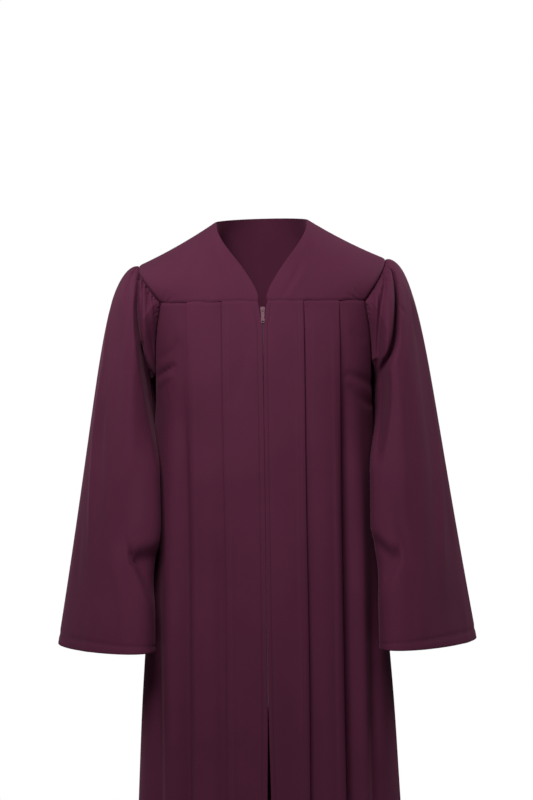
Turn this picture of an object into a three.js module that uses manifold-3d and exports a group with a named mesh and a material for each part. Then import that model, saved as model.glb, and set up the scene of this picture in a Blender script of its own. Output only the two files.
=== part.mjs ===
// A graduation gown, zipped up and filled out as it is when worn, with nobody in it.
// Millimetres, +Z up. The front faces -Y and the wearer's left is +X. The origin is midway between the two
// neck points, where the shoulder seams meet the neckline and the wearer's shoulders carry the gown.
// Every piece of cloth is a wall round its middle surface, in rows from top to bottom.
import * as THREE from "three";
import { mergeVertices } from "three/addons/utils/BufferGeometryUtils.js";
import Module from "manifold-3d";

const { lerp, clamp, degToRad } = THREE.MathUtils;
const wasm = await Module();
wasm.setup();

// ---- Driving dimensions ----
const CLOTH = 1.0; // wall of the cloth
const SEAM = 0.3; // gap left between two pieces that are sewn together
const LENGTH = 1372; // from the neck points to the hem

const NECK = { half: 74, front: 8, power: 1.15, napeBack: 66, napeRise: 10 };
const SHOULDER = { half: 194, slope: 0.64, ease: 0.0009 }; // the shoulder seam falls away from the neck
const YOKE_ROUND = 0.8; // 0 runs straight from shoulder to seam, 1 is a quarter round
const FRONT_YOKE = { drop: 133, corner: 160 };
const BACK_YOKE = { drop: 150, corner: 166, neckShare: 0.42, flatness: 0.55 };
const ARMHOLE = { drop: 332, power: 2.2, out: 1.4, tuck: 0.4 }; // the sleeve starts this far out of it, and inside

// The hollow form that the body hangs round: half its width, its depth before and behind, and how square it is.
const FORM = [
  { drop: 120, half: 193, front: 124, back: 98, square: 2.5 },
  { drop: 170, half: 187, front: 131, back: 113, square: 2.5 },
  { drop: 240, half: 180, front: 138, back: 124, square: 2.5 },
  { drop: 332, half: 175, front: 142, back: 129, square: 2.4 },
  { drop: 480, half: 180, front: 145, back: 130, square: 2.35 },
  { drop: 570, half: 186, front: 147, back: 132, square: 2.3 },
  { drop: 760, half: 200, front: 153, back: 138, square: 2.3 },
  { drop: 930, half: 209, front: 158, back: 145, square: 2.3 },
  { drop: LENGTH, half: 232, front: 172, back: 166, square: 2.2 },
];
const FRONT_ROWS = [170, 215, 260, 300, 325, ARMHOLE.drop, 480, 640, 765, 930, LENGTH];
const BACK_ROWS = [190, 245, 300, 325, ARMHOLE.drop, 480, 640, 765, 930, LENGTH];

// Knife pleats. The fold's edge faces the sleeve, at this distance from the middle, over a tuck of this depth.
const FRONT_PLEATS = [
  { at: 62.7, tuck: 14 },
  { at: 118, tuck: 15 },
];
const BACK_PLEATS = [
  { at: 46, tuck: 14 },
  { at: 104, tuck: 15 },
];
const PLEAT = { turn: 0.9, lip: 9, shelf: 4, ramp: 20 }; // half the pitch of its layers, then its reach

// How far the front edge is from the middle: open at the neck, closed by the zip, then parted by the slit.
const ZIP = { top: 143, bottom: 757, edge: 1.0 };
const FRONT_EDGE = [
  { drop: FRONT_YOKE.drop, out: NECK.front + 0.5 },
  { drop: ZIP.top, out: 5.6 },
  { drop: ZIP.top + 11, out: 4.2 },
  { drop: ZIP.top + 29, out: ZIP.edge },
  { drop: ZIP.bottom, out: ZIP.edge },
  { drop: 900, out: 3.2 },
  { drop: LENGTH, out: 9 },
];

// The soft flutes that the skirt falls into between its pleats and its side seam.
const FLUTES = { from: 360, full: 1250, depth: 7, count: 2 };

const CUFF = { drop: 670, out: 254, fore: 52, long: 116, short: 55, turn: 125 };
// A sleeve line leaves the armhole by the first reach and comes to the cuff by the second, each as out, fore and up.
// angle runs round the armhole and the cuff alike: 0 the shoulder, 90 the front, 180 the underarm, 270 the back.
const SLEEVE_LINES = [
  { angle: 0, out: 60, fore: 0, up: 0, cuffOut: -63, cuffFore: -15, cuffUp: 378 },
  { angle: 45, out: 51, fore: 30, up: 4, cuffOut: -48, cuffFore: -12, cuffUp: 370 },
  { angle: 90, out: 33, fore: 38, up: -27, cuffOut: -21, cuffFore: -30, cuffUp: 290 },
  { angle: 135, out: 13, fore: 26, up: -55, cuffOut: -1, cuffFore: -32, cuffUp: 200 },
  { angle: 180, out: 9, fore: 0, up: -40, cuffOut: 5, cuffFore: -40, cuffUp: 150 },
  { angle: 225, out: 13, fore: -20, up: -55, cuffOut: -8, cuffFore: -40, cuffUp: 220 },
  { angle: 270, out: 38, fore: -36, up: -20, cuffOut: -35, cuffFore: -40, cuffUp: 290 },
  { angle: 315, out: 50, fore: -26, up: 4, cuffOut: -60, cuffFore: -28, cuffUp: 370 },
];
const SLEEVE_ROWS = [0, 0.035, 0.09, 0.17, 0.27, 0.38, 0.5, 0.62, 0.74, 0.86, 1];
const SLEEVE_SIDES = 40;
// The largest folds of a sleeve. depth is inward, and a ridge has a negative one.
const SLEEVE_FOLDS = [
  { angle: 22, spread: 9, depth: 6, from: 0.0, to: 0.5 },
  { angle: 62, spread: 12, depth: 14, from: 0.02, to: 0.62 },
  { angle: 88, spread: 10, depth: -5, from: 0.05, to: 0.5 },
  { angle: 100, spread: 16, depth: 7, from: 0.55, to: 1.1 },
  { angle: 35, spread: 14, depth: 5, from: 0.45, to: 1.2 },
  { angle: 335, spread: 9, depth: 6, from: 0.0, to: 0.5 },
  { angle: 298, spread: 12, depth: 11, from: 0.02, to: 0.62 },
  { angle: 262, spread: 16, depth: 7, from: 0.4, to: 1.1 },
  { angle: 320, spread: 14, depth: 5, from: 0.5, to: 1.2 },
];

const TAPE = { wide: 14, behind: 2.0, lip: 0.6 }; // zip tape, behind the middle of the front's cloth
const CHAIN = { half: 2.2, thick: 2.0 };
const SLIDER = { half: 3.5, waist: 2.7, long: 10, plate: 1.1, postHalf: 0.9, postLong: 2.6 };
const BAIL = { half: 0.8, long: 4.0, high: 2.9, bar: 0.9 };
const PULL = { half: 2.7, thick: 1.0, long: 21, bar: 1.1, slotHalf: 1.3, slotEnd: 3.1, hole: 1.4 };
const STOP = { half: 2.0, long: 3.2, thick: 2.6 };

// ---- Curves ----
// The value of a column of a table where its key is at: a smooth curve through the rows.
function along(table, key, column, at) {
  const last = table.length - 1;
  let i = 0;
  while (i < last - 1 && at > table[i + 1][key]) i++;
  const slope = (k) => {
    const [a, b] = [table[Math.max(k - 1, 0)], table[Math.min(k + 1, last)]];
    return (b[column] - a[column]) / (b[key] - a[key]);
  };
  const [a, b] = [table[i], table[i + 1]];
  const span = b[key] - a[key];
  const t = clamp((at - a[key]) / span, 0, 1);
  const [t2, t3] = [t * t, t * t * t];
  return (
    (2 * t3 - 3 * t2 + 1) * a[column] +
    (t3 - 2 * t2 + t) * span * slope(i) +
    (3 * t2 - 2 * t3) * b[column] +
    (t3 - t2) * span * slope(i + 1)
  );
}

// The same for a table that goes once round, keyed by an angle in degrees.
function around(table, column, angle) {
  const turn = (row, by) => ({ ...row, angle: row.angle + by });
  const rows = [
    ...table.slice(-2).map((row) => turn(row, -360)),
    ...table,
    ...table.slice(0, 2).map((row) => turn(row, 360)),
  ];
  return along(rows, "angle", column, angle);
}

// A soft bump between from and to, 1 in its middle stretch and 0 outside.
function bump(at, from, to) {
  const t = clamp((at - from) / (to - from), 0, 1);
  return Math.sin(Math.PI * t) ** 0.7;
}

// n points evenly spaced along a line through the given points.
function spaced(points, n) {
  return new THREE.CatmullRomCurve3(points).getSpacedPoints(n - 1);
}

// ---- The form ----
function formAt(drop) {
  const at = (column) => along(FORM, "drop", column, drop);
  return { half: at("half"), front: at("front"), back: at("back"), square: at("square") };
}

// The angle, from 0 at the side to a right angle in the middle, where the form is this far out.
function angleAt(drop, out) {
  const form = formAt(drop);
  return Math.acos((out / form.half) ** (form.square / 2));
}

// A point of the form at a drop and an angle, moved in by inset. facing is -1 for the front and 1 for the back.
function formPoint(drop, angle, facing, inset = 0) {
  const form = formAt(drop);
  const depth = facing < 0 ? form.front : form.back;
  const power = 2 / form.square;
  const [c, s] = [Math.max(Math.cos(angle), 1e-6), Math.max(Math.sin(angle), 1e-6)];
  const point = new THREE.Vector3(form.half * c ** power, facing * depth * s ** power, -drop);
  const across = new THREE.Vector3(c ** (2 - power) / form.half, (facing * s ** (2 - power)) / depth, 0);
  return point.addScaledVector(across.normalize(), -inset);
}

// Where the armhole cuts the form at a drop, for a yoke whose corner is at cornerDrop.
function armholeAngle(drop, cornerDrop, cornerOut) {
  const corner = angleAt(cornerDrop, cornerOut);
  const share = clamp((ARMHOLE.drop - drop) / (ARMHOLE.drop - cornerDrop), 0, 1);
  return corner * share ** (1 / ARMHOLE.power);
}

// ---- Walls of cloth ----
// A closed wall of cloth round a grid of points, row by row. round joins each row's end to its start.
function clothWall(rows, { round = false, flip = false } = {}) {
  const [m, n] = [rows.length, rows[0].length];
  const at = (i, j) => rows[clamp(i, 0, m - 1)][round ? (j + n) % n : clamp(j, 0, n - 1)];
  const vertices = [];
  for (const side of [0.5, -0.5]) {
    for (let i = 0; i < m; i++) {
      for (let j = 0; j < n; j++) {
        const down = at(i + 1, j).clone().sub(at(i - 1, j));
        const over = at(i, j + 1).clone().sub(at(i, j - 1));
        const normal = down.cross(over).normalize();
        vertices.push(at(i, j).clone().addScaledVector(normal, side * CLOTH * (flip ? -1 : 1)));
      }
    }
  }
  const id = (side, i, j) => side * m * n + i * n + (round ? j % n : j);
  const faces = [];
  const quad = (a, b, c, d) => faces.push(a, b, c, a, c, d);
  for (let i = 0; i < m - 1; i++) {
    for (let j = 0; j < (round ? n : n - 1); j++) {
      quad(id(0, i, j), id(0, i + 1, j), id(0, i + 1, j + 1), id(0, i, j + 1));
      quad(id(1, i, j), id(1, i, j + 1), id(1, i + 1, j + 1), id(1, i + 1, j));
    }
  }
  for (let j = 0; j < (round ? n : n - 1); j++) {
    quad(id(0, 0, j), id(0, 0, j + 1), id(1, 0, j + 1), id(1, 0, j));
    quad(id(0, m - 1, j), id(1, m - 1, j), id(1, m - 1, j + 1), id(0, m - 1, j + 1));
  }
  if (!round) {
    for (let i = 0; i < m - 1; i++) {
      quad(id(0, i, 0), id(1, i, 0), id(1, i + 1, 0), id(0, i + 1, 0));
      quad(id(0, i, n - 1), id(0, i + 1, n - 1), id(1, i + 1, n - 1), id(1, i, n - 1));
    }
  }
  if (flip) faces.reverse();
  const geometry = new THREE.BufferGeometry();
  geometry.setAttribute(
    "position",
    new THREE.Float32BufferAttribute(vertices.flatMap((v) => v.toArray()), 3),
  );
  geometry.setIndex(faces);
  return geometry;
}

const mirrored = (rows) => rows.map((row) => row.map((p) => new THREE.Vector3(-p.x, p.y, p.z)));

// ---- Yokes ----
const shoulderDrop = (out) => {
  const run = out - NECK.half;
  return SHOULDER.slope * run - SHOULDER.ease * run * run;
};
// How far a line from shoulder to seam has gone forward and down, at t from 0 to 1.
const forward = (t, round) => (1 - round) * t + round * Math.sin((t * Math.PI) / 2);
const downward = (t, round) => (1 - round) * t + round * (1 - Math.cos((t * Math.PI) / 2));

// Half the width of the neckline's V at a drop.
function neckHalf(drop) {
  const t = (drop / FRONT_YOKE.drop) ** NECK.power;
  return NECK.front + ((NECK.half - NECK.front) * (1 + Math.cos(Math.PI * t))) / 2;
}

// How far out the armhole's edge is on the front yoke, t of the way down it.
const frontArmOut = (t) => lerp(SHOULDER.half, FRONT_YOKE.corner, t ** 1.4);

// u runs from the neckline to the armhole, t from the shoulder seam to the yoke seam.
function frontYokePoint(u, t) {
  const out = lerp(NECK.half, SHOULDER.half, u);
  const top = shoulderDrop(out);
  const seamOut = lerp(NECK.front, FRONT_YOKE.corner, u);
  const seam = formPoint(FRONT_YOKE.drop, angleAt(FRONT_YOKE.drop, seamOut), -1);
  const fall = downward(t, YOKE_ROUND);
  const drop = lerp(top, FRONT_YOKE.drop, fall);
  const neckOut = neckHalf(fall * FRONT_YOKE.drop);
  return new THREE.Vector3(
    lerp(neckOut, frontArmOut(fall), u),
    seam.y * forward(t, YOKE_ROUND) - SEAM,
    -drop,
  );
}

// u runs from the middle of the nape to the armhole, t from the neckline or shoulder seam to the yoke seam.
function backYokePoint(u, t) {
  const onNeck = clamp(u / BACK_YOKE.neckShare, 0, 1);
  const turn = (onNeck * Math.PI) / 2;
  const out = lerp(NECK.half, SHOULDER.half, clamp((u - BACK_YOKE.neckShare) / (1 - BACK_YOKE.neckShare), 0, 1));
  const top =
    u < BACK_YOKE.neckShare
      ? new THREE.Vector3(
          NECK.half * Math.sin(turn),
          NECK.napeBack * Math.cos(turn),
          NECK.napeRise * Math.cos(turn),
        )
      : new THREE.Vector3(out, 0, -shoulderDrop(out));
  const seam = formPoint(BACK_YOKE.drop, angleAt(BACK_YOKE.drop, Math.max(BACK_YOKE.corner * u, 0.01)), 1);
  const round = lerp(YOKE_ROUND - BACK_YOKE.flatness, YOKE_ROUND, onNeck);
  const fall = downward(t, round);
  return new THREE.Vector3(
    lerp(top.x, seam.x, fall ** 1.2),
    lerp(top.y, seam.y, forward(t, round)) + SEAM,
    lerp(top.z, seam.z, fall),
  );
}

const steps = (n, from = 0, to = 1) => Array.from({ length: n }, (_, i) => lerp(from, to, i / (n - 1)));
const YOKE_DOWN = steps(7);
const YOKE_ACROSS = steps(9);

const frontYokeRows = () => YOKE_DOWN.map((t) => YOKE_ACROSS.map((u) => frontYokePoint(u, t)));

function backYokeRows() {
  const outer = steps(10).slice(1);
  return YOKE_DOWN.map((t) => {
    const half = outer.map((u) => backYokePoint(u, t));
    const [otherHalf] = mirrored([half]);
    return [...otherHalf.reverse(), backYokePoint(0, t), ...half];
  });
}

// ---- Fronts and back ----
// The stations of one knife pleat, as out and inset, from its own panel to the next one.
function pleatStations({ at, tuck }) {
  const turn = PLEAT.turn;
  return [
    { out: at - PLEAT.lip, inset: 0 },
    { out: at - turn, inset: 0 },
    { out: at, inset: turn },
    { out: at - turn, inset: 2 * turn },
    { out: at - tuck, inset: 2 * turn },
    { out: at - tuck - turn, inset: 3 * turn },
    { out: at - tuck, inset: 4 * turn },
    { out: at + PLEAT.shelf, inset: 4 * turn },
    { out: at + PLEAT.ramp, inset: 2 * turn },
  ];
}

// How far the skirt's flutes move the cloth in, t of the way from the last pleat to the side seam.
function fluteInset(drop, t) {
  const grown = clamp((drop - FLUTES.from) / (FLUTES.full - FLUTES.from), 0, 1);
  return (FLUTES.depth * grown * (1 - Math.cos(2 * Math.PI * FLUTES.count * t))) / 2;
}

// One half of a body panel at a drop: stations by distance out to the last pleat, and on to the edge by angle.
function panelHalf(drop, facing, stations, sideSteps, endAngle) {
  const near = stations.map(({ out, inset }) => formPoint(drop, angleAt(drop, out), facing, inset));
  const last = stations[stations.length - 1];
  const start = angleAt(drop, last.out);
  const side = steps(sideSteps + 1).slice(1).map((t) => {
    const inset = last.inset * (1 - t) ** 2 + fluteInset(drop, t);
    return formPoint(drop, lerp(start, endAngle, t), facing, inset);
  });
  const points = [...near, ...side];
  for (const p of points) p.y += facing * SEAM;
  return points;
}

function frontRows() {
  return [FRONT_YOKE.drop + SEAM, ...FRONT_ROWS].map((drop) => {
    const edge = along(FRONT_EDGE, "drop", "out", drop);
    const stations = [
      { out: edge, inset: 0 },
      { out: edge + 10, inset: 0 },
      { out: (edge + FRONT_PLEATS[0].at) / 2, inset: 0 },
      ...FRONT_PLEATS.flatMap(pleatStations),
    ];
    return panelHalf(drop, -1, stations, 6, armholeAngle(drop, FRONT_YOKE.drop, FRONT_YOKE.corner));
  });
}

function backRows() {
  return [BACK_YOKE.drop + SEAM, ...BACK_ROWS].map((drop) => {
    const end = armholeAngle(drop, BACK_YOKE.drop, BACK_YOKE.corner);
    const half = panelHalf(drop, 1, [{ out: 20, inset: 0 }, ...BACK_PLEATS.flatMap(pleatStations)], 6, end);
    const [otherHalf] = mirrored([half]);
    return [...otherHalf.reverse(), ...half];
  });
}

// ---- Sleeves ----
// The armhole's edge, from the shoulder down to the underarm, before or behind.
function armholeEdge(facing) {
  const [yoke, point] = facing < 0 ? [FRONT_YOKE, frontYokePoint] : [BACK_YOKE, backYokePoint];
  const onYoke = steps(9).map((t) => point(1, t));
  const onPanel = steps(14)
    .slice(1)
    .map((t) => {
      const drop = ARMHOLE.drop - (ARMHOLE.drop - yoke.drop) * (1 - t) ** 1.6;
      return formPoint(drop, armholeAngle(drop, yoke.drop, yoke.corner), facing);
    });
  return [...onYoke, ...onPanel];
}

// The ring where a sleeve starts, just inside the armhole, in SLEEVE_SIDES points from the shoulder by the front.
function armholeRing() {
  const half = SLEEVE_SIDES / 2 + 1;
  const front = spaced(armholeEdge(-1), half);
  const back = spaced(armholeEdge(1), half);
  front[0].y = 0;
  front[half - 1].y = 0;
  const ring = [...front, ...back.slice(1, -1).reverse()];
  const middle = ring.reduce((sum, p) => sum.add(p), new THREE.Vector3()).divideScalar(ring.length);
  return ring.map((p) => {
    const inward = middle.clone().sub(p).normalize();
    return p.clone().addScaledVector(inward, ARMHOLE.tuck).add(new THREE.Vector3(ARMHOLE.out, 0, 0));
  });
}

const heading = (degrees) => {
  const a = degToRad(degrees);
  return new THREE.Vector3(Math.cos(a), -Math.sin(a), 0);
};

function cuffPoint(angle) {
  const a = degToRad(angle - CUFF.turn);
  return new THREE.Vector3(CUFF.out, -CUFF.fore, -CUFF.drop)
    .addScaledVector(heading(CUFF.turn), CUFF.long * Math.cos(a))
    .addScaledVector(heading(CUFF.turn + 90), CUFF.short * Math.sin(a));
}

function sleeveFoldDepth(angle, s) {
  return SLEEVE_FOLDS.reduce((sum, fold) => {
    const away = ((angle - fold.angle + 540) % 360) - 180;
    return sum + fold.depth * Math.exp(-((away / fold.spread) ** 2)) * bump(s, fold.from, fold.to);
  }, 0);
}

function sleeveRows() {
  const ring = armholeRing();
  const lines = ring.map((start, j) => {
    const angle = (j * 360) / SLEEVE_SIDES;
    const at = (column) => around(SLEEVE_LINES, column, angle);
    const end = cuffPoint(angle);
    const leave = start.clone().add(new THREE.Vector3(at("out"), -at("fore"), at("up")));
    const arrive = end.clone().add(new THREE.Vector3(at("cuffOut"), -at("cuffFore"), at("cuffUp")));
    return new THREE.CubicBezierCurve3(start, leave, arrive, end);
  });
  return SLEEVE_ROWS.map((s) => {
    const row = lines.map((line) => line.getPoint(s));
    const middle = row.reduce((sum, p) => sum.add(p), new THREE.Vector3()).divideScalar(row.length);
    return row.map((p, j) => {
      const inward = middle.clone().sub(p).setZ(0).normalize();
      return p.addScaledVector(inward, sleeveFoldDepth((j * 360) / SLEEVE_SIDES, s));
    });
  });
}

// ---- Zip ----
// The middle of the front's cloth at the centre line.
const frontDepth = (drop) => formPoint(drop, angleAt(drop, 1), -1).y - SEAM;

function tapeRows() {
  const drops = [FRONT_YOKE.drop + 2, ZIP.top, ZIP.top + 5, ZIP.top + 12, 200, 332, 480, 640, ZIP.bottom];
  return drops.map((drop) => {
    const inner = Math.max(along(FRONT_EDGE, "drop", "out", drop) - TAPE.lip, CHAIN.half + SEAM);
    return steps(2).map((t) => {
      const out = inner + t * TAPE.wide;
      const point = formPoint(drop, angleAt(drop, out), -1, TAPE.behind);
      point.y -= SEAM;
      return point;
    });
  });
}

function chainGeometry() {
  const drops = [ZIP.top + SLIDER.postLong + 1.2, 200, 332, 480, 640, ZIP.bottom - STOP.long / 2 - SEAM];
  const outline = new THREE.Shape();
  const face = (side) => drops.map((d) => new THREE.Vector2(frontDepth(d) + TAPE.behind + (side * CHAIN.thick) / 2, -d));
  outline.setFromPoints([...face(-1), ...face(1).reverse()]);
  const geometry = new THREE.ExtrudeGeometry(outline, { depth: 2 * CHAIN.half, bevelEnabled: false });
  // The outline is drawn as depth and height, and is extruded across the gown.
  const across = new THREE.Matrix4().makeBasis(
    new THREE.Vector3(0, 1, 0),
    new THREE.Vector3(0, 0, 1),
    new THREE.Vector3(1, 0, 0),
  );
  return geometry.applyMatrix4(across).translate(-CHAIN.half, 0, 0);
}

// An outline in the gown's front plane, x across and z up, made this thick and centred on y = 0.
function plate(outline, thick, curveSegments = 12) {
  const geometry = new THREE.ExtrudeGeometry(outline, { depth: thick, bevelEnabled: false, curveSegments });
  return geometry.translate(0, 0, -thick / 2).rotateX(Math.PI / 2);
}

// A closed geometry as a solid, and solids joined or cut into one geometry.
function solid(geometry) {
  const bare = new THREE.BufferGeometry().setAttribute("position", geometry.getAttribute("position"));
  if (geometry.index) bare.setIndex(geometry.index);
  const merged = mergeVertices(bare, 1e-3);
  return new wasm.Manifold(
    new wasm.Mesh({
      numProp: 3,
      vertProperties: merged.attributes.position.array,
      triVerts: new Uint32Array(merged.index.array),
    }),
  );
}

function geometryOf(made) {
  const { numProp, vertProperties, triVerts } = made.getMesh();
  const position = new THREE.BufferAttribute(new Float32Array(vertProperties), numProp);
  return new THREE.BufferGeometry().setAttribute("position", position).setIndex([...triVerts]);
}

const joined = (...parts) => geometryOf(parts.map(solid).reduce((a, b) => a.add(b)));

// The slider's shield: wide at the top where the two tapes come in, narrow where the closed chain leaves.
function shield() {
  const { half, waist, long } = SLIDER;
  return new THREE.Shape()
    .moveTo(-half, -1.6)
    .quadraticCurveTo(-half, 0, -half + 1.6, 0)
    .lineTo(half - 1.6, 0)
    .quadraticCurveTo(half, 0, half, -1.6)
    .lineTo(waist, 1 - long)
    .quadraticCurveTo(waist, -long, waist - 1, -long)
    .lineTo(1 - waist, -long)
    .quadraticCurveTo(-waist, -long, -waist, 1 - long)
    .closePath();
}

// Drawn round its own chain: z 0 at its top and y 0 in the middle of the chain.
function sliderGeometry() {
  const { plate: thick, postHalf, postLong, long } = SLIDER;
  const room = CHAIN.thick / 2 + SEAM;
  const front = plate(shield(), thick).translate(0, -room - thick / 2, 0);
  const rear = plate(shield(), thick).translate(0, room + thick / 2, 0);
  const post = new THREE.BoxGeometry(2 * postHalf, 2 * room + thick, postLong).translate(0, 0, -postLong / 2);
  const face = -room - thick;
  const top = -(long - BAIL.long) / 2;
  const bar = new THREE.BoxGeometry(2 * BAIL.half, BAIL.bar, BAIL.long).translate(
    0,
    face - BAIL.high + BAIL.bar / 2,
    top - BAIL.long / 2,
  );
  const foot = (z) =>
    new THREE.BoxGeometry(2 * BAIL.half, BAIL.high, BAIL.bar).translate(0, face - BAIL.high / 2 + 0.05, z);
  return joined(front, rear, post, bar, foot(top - BAIL.bar / 2), foot(top - BAIL.long + BAIL.bar / 2));
}

// Drawn hanging from its hinge line, which is the origin: a bar behind the bail, and a hole at the free end.
function pullGeometry() {
  const { half, thick, long, bar, slotHalf, slotEnd, hole } = PULL;
  const top = bar / 2;
  const outline = new THREE.Shape()
    .moveTo(-half, -0.5)
    .quadraticCurveTo(-half, top, 1 - half, top)
    .lineTo(half - 1, top)
    .quadraticCurveTo(half, top, half, -0.5)
    .lineTo(half, half - long)
    .absarc(0, half - long, half, 0, -Math.PI, true)
    .closePath();
  const slot = new THREE.Path()
    .moveTo(-slotHalf, -top)
    .lineTo(-slotHalf, -slotEnd)
    .lineTo(slotHalf, -slotEnd)
    .lineTo(slotHalf, -top)
    .closePath();
  const end = new THREE.Path().absarc(0, half - long, hole, 0, 2 * Math.PI, false);
  outline.holes.push(slot, end);
  return plate(outline, thick);
}

// ---- The gown ----
const gown = new THREE.Group();
const CLOTH_LOOK = { color: 0x55293c, roughness: 0.85, metalness: 0 };
const ZIP_CLOTH_LOOK = { color: 0x4a2435, roughness: 0.9, metalness: 0 };
const ZIP_LOOK = { color: 0x7d4a5e, roughness: 0.4, metalness: 0.1 };
const STOP_LOOK = { color: 0x6b6466, roughness: 0.4, metalness: 0.6 };

function addPiece(name, geometry, look, place = [0, 0, 0], group = gown) {
  const mesh = new THREE.Mesh(geometry, new THREE.MeshStandardMaterial(look));
  mesh.name = name;
  mesh.position.set(...place);
  group.add(mesh);
}

for (const [side, flip] of [
  ["left", false],
  ["right", true],
]) {
  const piece = (rows, options) => clothWall(flip ? mirrored(rows) : rows, { ...options, flip });
  addPiece(`yoke_front_${side}`, piece(frontYokeRows()), CLOTH_LOOK);
  addPiece(`front_${side}`, piece(frontRows()), CLOTH_LOOK);
  addPiece(`sleeve_${side}`, piece(sleeveRows(), { round: true }), CLOTH_LOOK);
  addPiece(`zip_tape_${side}`, piece(tapeRows()), ZIP_CLOTH_LOOK);
}
addPiece("yoke_back", clothWall(backYokeRows(), { flip: true }), CLOTH_LOOK);
addPiece("back", clothWall(backRows(), { flip: true }), CLOTH_LOOK);

// The slider and its pull lie along the chain, which leans out over the chest.
const runner = new THREE.Group();
const sliderMiddle = ZIP.top + SLIDER.long / 2;
const lean = Math.atan2(frontDepth(sliderMiddle - 10) - frontDepth(sliderMiddle + 10), 20);
runner.position.set(0, frontDepth(sliderMiddle) + TAPE.behind, -sliderMiddle);
runner.rotation.x = -lean;
gown.add(runner);
const hinge = -CHAIN.thick / 2 - SEAM - SLIDER.plate - (BAIL.high - BAIL.bar) / 2;
addPiece("zip_chain", chainGeometry(), ZIP_CLOTH_LOOK);
addPiece("zip_slider", sliderGeometry(), ZIP_LOOK, [0, 0, SLIDER.long / 2], runner);
addPiece("zip_pull", pullGeometry(), ZIP_LOOK, [0, hinge, 0], runner);
addPiece(
  "zip_stop",
  new THREE.BoxGeometry(2 * STOP.half, STOP.thick, STOP.long),
  STOP_LOOK,
  [0, frontDepth(ZIP.bottom) + TAPE.behind, -ZIP.bottom],
);

export default gown;
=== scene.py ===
import math

import bpy
import numpy as np
from mathutils import Matrix, Vector


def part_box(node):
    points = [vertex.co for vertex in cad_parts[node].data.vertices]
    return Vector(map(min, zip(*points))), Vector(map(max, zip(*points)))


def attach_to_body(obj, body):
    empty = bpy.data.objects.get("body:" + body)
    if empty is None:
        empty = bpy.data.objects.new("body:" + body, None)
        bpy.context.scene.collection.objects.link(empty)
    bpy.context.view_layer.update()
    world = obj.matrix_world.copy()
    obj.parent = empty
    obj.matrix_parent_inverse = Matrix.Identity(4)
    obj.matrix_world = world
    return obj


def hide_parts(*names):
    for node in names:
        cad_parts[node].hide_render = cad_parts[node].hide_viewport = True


bl_info = {
    "name": "Graduation Gown",
    "version": (1, 0, 0),
    "blender": (4, 5, 0),
    "location": "3D View > Sidebar > Gown",
    "description": "Cuts, pleats, gathers and stitches a graduation gown round its frame",
    "category": "Object",
}

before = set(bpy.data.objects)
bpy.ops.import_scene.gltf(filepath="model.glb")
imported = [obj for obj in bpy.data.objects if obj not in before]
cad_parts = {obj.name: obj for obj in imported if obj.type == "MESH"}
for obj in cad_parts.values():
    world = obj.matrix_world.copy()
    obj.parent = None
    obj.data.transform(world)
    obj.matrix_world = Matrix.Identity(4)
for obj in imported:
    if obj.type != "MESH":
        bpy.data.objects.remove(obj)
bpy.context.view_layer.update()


def table(columns, rows):
    """Rows of values as dictionaries, under one line of column names."""
    return [dict(zip(columns.split(), row)) for row in rows]


# ---- The cut, in millimetres ----
# The front faces -Y and the wearer's left is +X. A drop is a distance below the neck points, out a distance
# from the middle line, and an inset a distance into the gown from its outer form.
MM = 0.001
LENGTH = 1372
SEAM = 0.3
NECK_HALF = 74
NECKLINE = [(0, 74), (18, 71), (42, 59), (79, 32.5), (108, 14.5), (124, 8), (133, 7.5)]
NAPE_BACK, NAPE_RISE = 66, 10
SHOULDER_HALF, SHOULDER_SLOPE, SHOULDER_EASE = 196, 0.645, 0.0009
YOKE_ROUND = 0.8
FRONT_YOKE = {"drop": 133, "corner": 158.5}
BACK_YOKE = {"drop": 150, "corner": 166, "neck_share": 0.42, "flatness": 0.55}
ARMHOLE = {"drop": 332, "out": 1.4, "tuck": 0.4}
# How far out the armhole's edge is as it falls from each yoke's corner to the underarm.
FRONT_ARMHOLE = [(133, 158.5), (150, 161.5), (170, 165), (190, 167.3), (210, 168.4), (233, 169.1),
                 (250, 169.4), (270, 169.8), (290, 170.7), (310, 172.3), (325, 174.1), (332, 175)]
BACK_ARMHOLE = [(150, 166), (190, 166.8), (233, 168), (270, 169.6), (290, 170.7), (310, 172.3), (325, 174.1),
                (332, 175)]

# The hollow form that the panels hang round: half its width, its depth before and behind, and its squareness.
FORM = table("drop half front back square", [
    (120, 193, 124, 98, 2.5),
    (170, 187, 131, 113, 2.5),
    (240, 180, 138, 124, 2.5),
    (332, 175, 142, 129, 2.4),
    (480, 180, 145, 130, 2.35),
    (570, 186, 147, 132, 2.3),
    (760, 200, 153, 138, 2.3),
    (930, 209, 158, 145, 2.3),
    (LENGTH, 232, 172, 166, 2.2),
])

# Knife pleats: how far out the fold is and how deep it is tucked. The edge strays a little as it falls, and
# springs away from the form by each amount of PLEAT_SPRING, between its two drops.
FRONT_PLEATS = [{"at": 62.7, "tuck": 14}, {"at": 118, "tuck": 15}]
BACK_PLEATS = [{"at": 46, "tuck": 14}, {"at": 104, "tuck": 15}]
PLEAT_TURN, PLEAT_SHELF, PLEAT_RAMP = 0.9, 4, 20
PLEAT_STRAY = {"by": 0.8, "wave": 97, "from": 200, "full": 600}
PLEAT_SPRING = {"amounts": [(1.2, 140, 200), (2.6, 260, 900)], "width": 16}
# A panel's troughs and creases are held flatter near the yoke seam.
YOKE_HOLD = {"share": 0.5, "reach": 12}

# How far the front edge is from the middle: open at the neck, closed by the zip, then parted by the slit.
ZIP_TOP, ZIP_BOTTOM = 143, 757
FRONT_EDGE = table("drop out", [
    (133, 8.5),
    (ZIP_TOP, 5.6),
    (ZIP_TOP + 11, 4.2),
    (ZIP_TOP + 29, 1.0),
    (ZIP_BOTTOM, 1.0),
    (900, 3.2),
    (LENGTH, 9),
])

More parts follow.
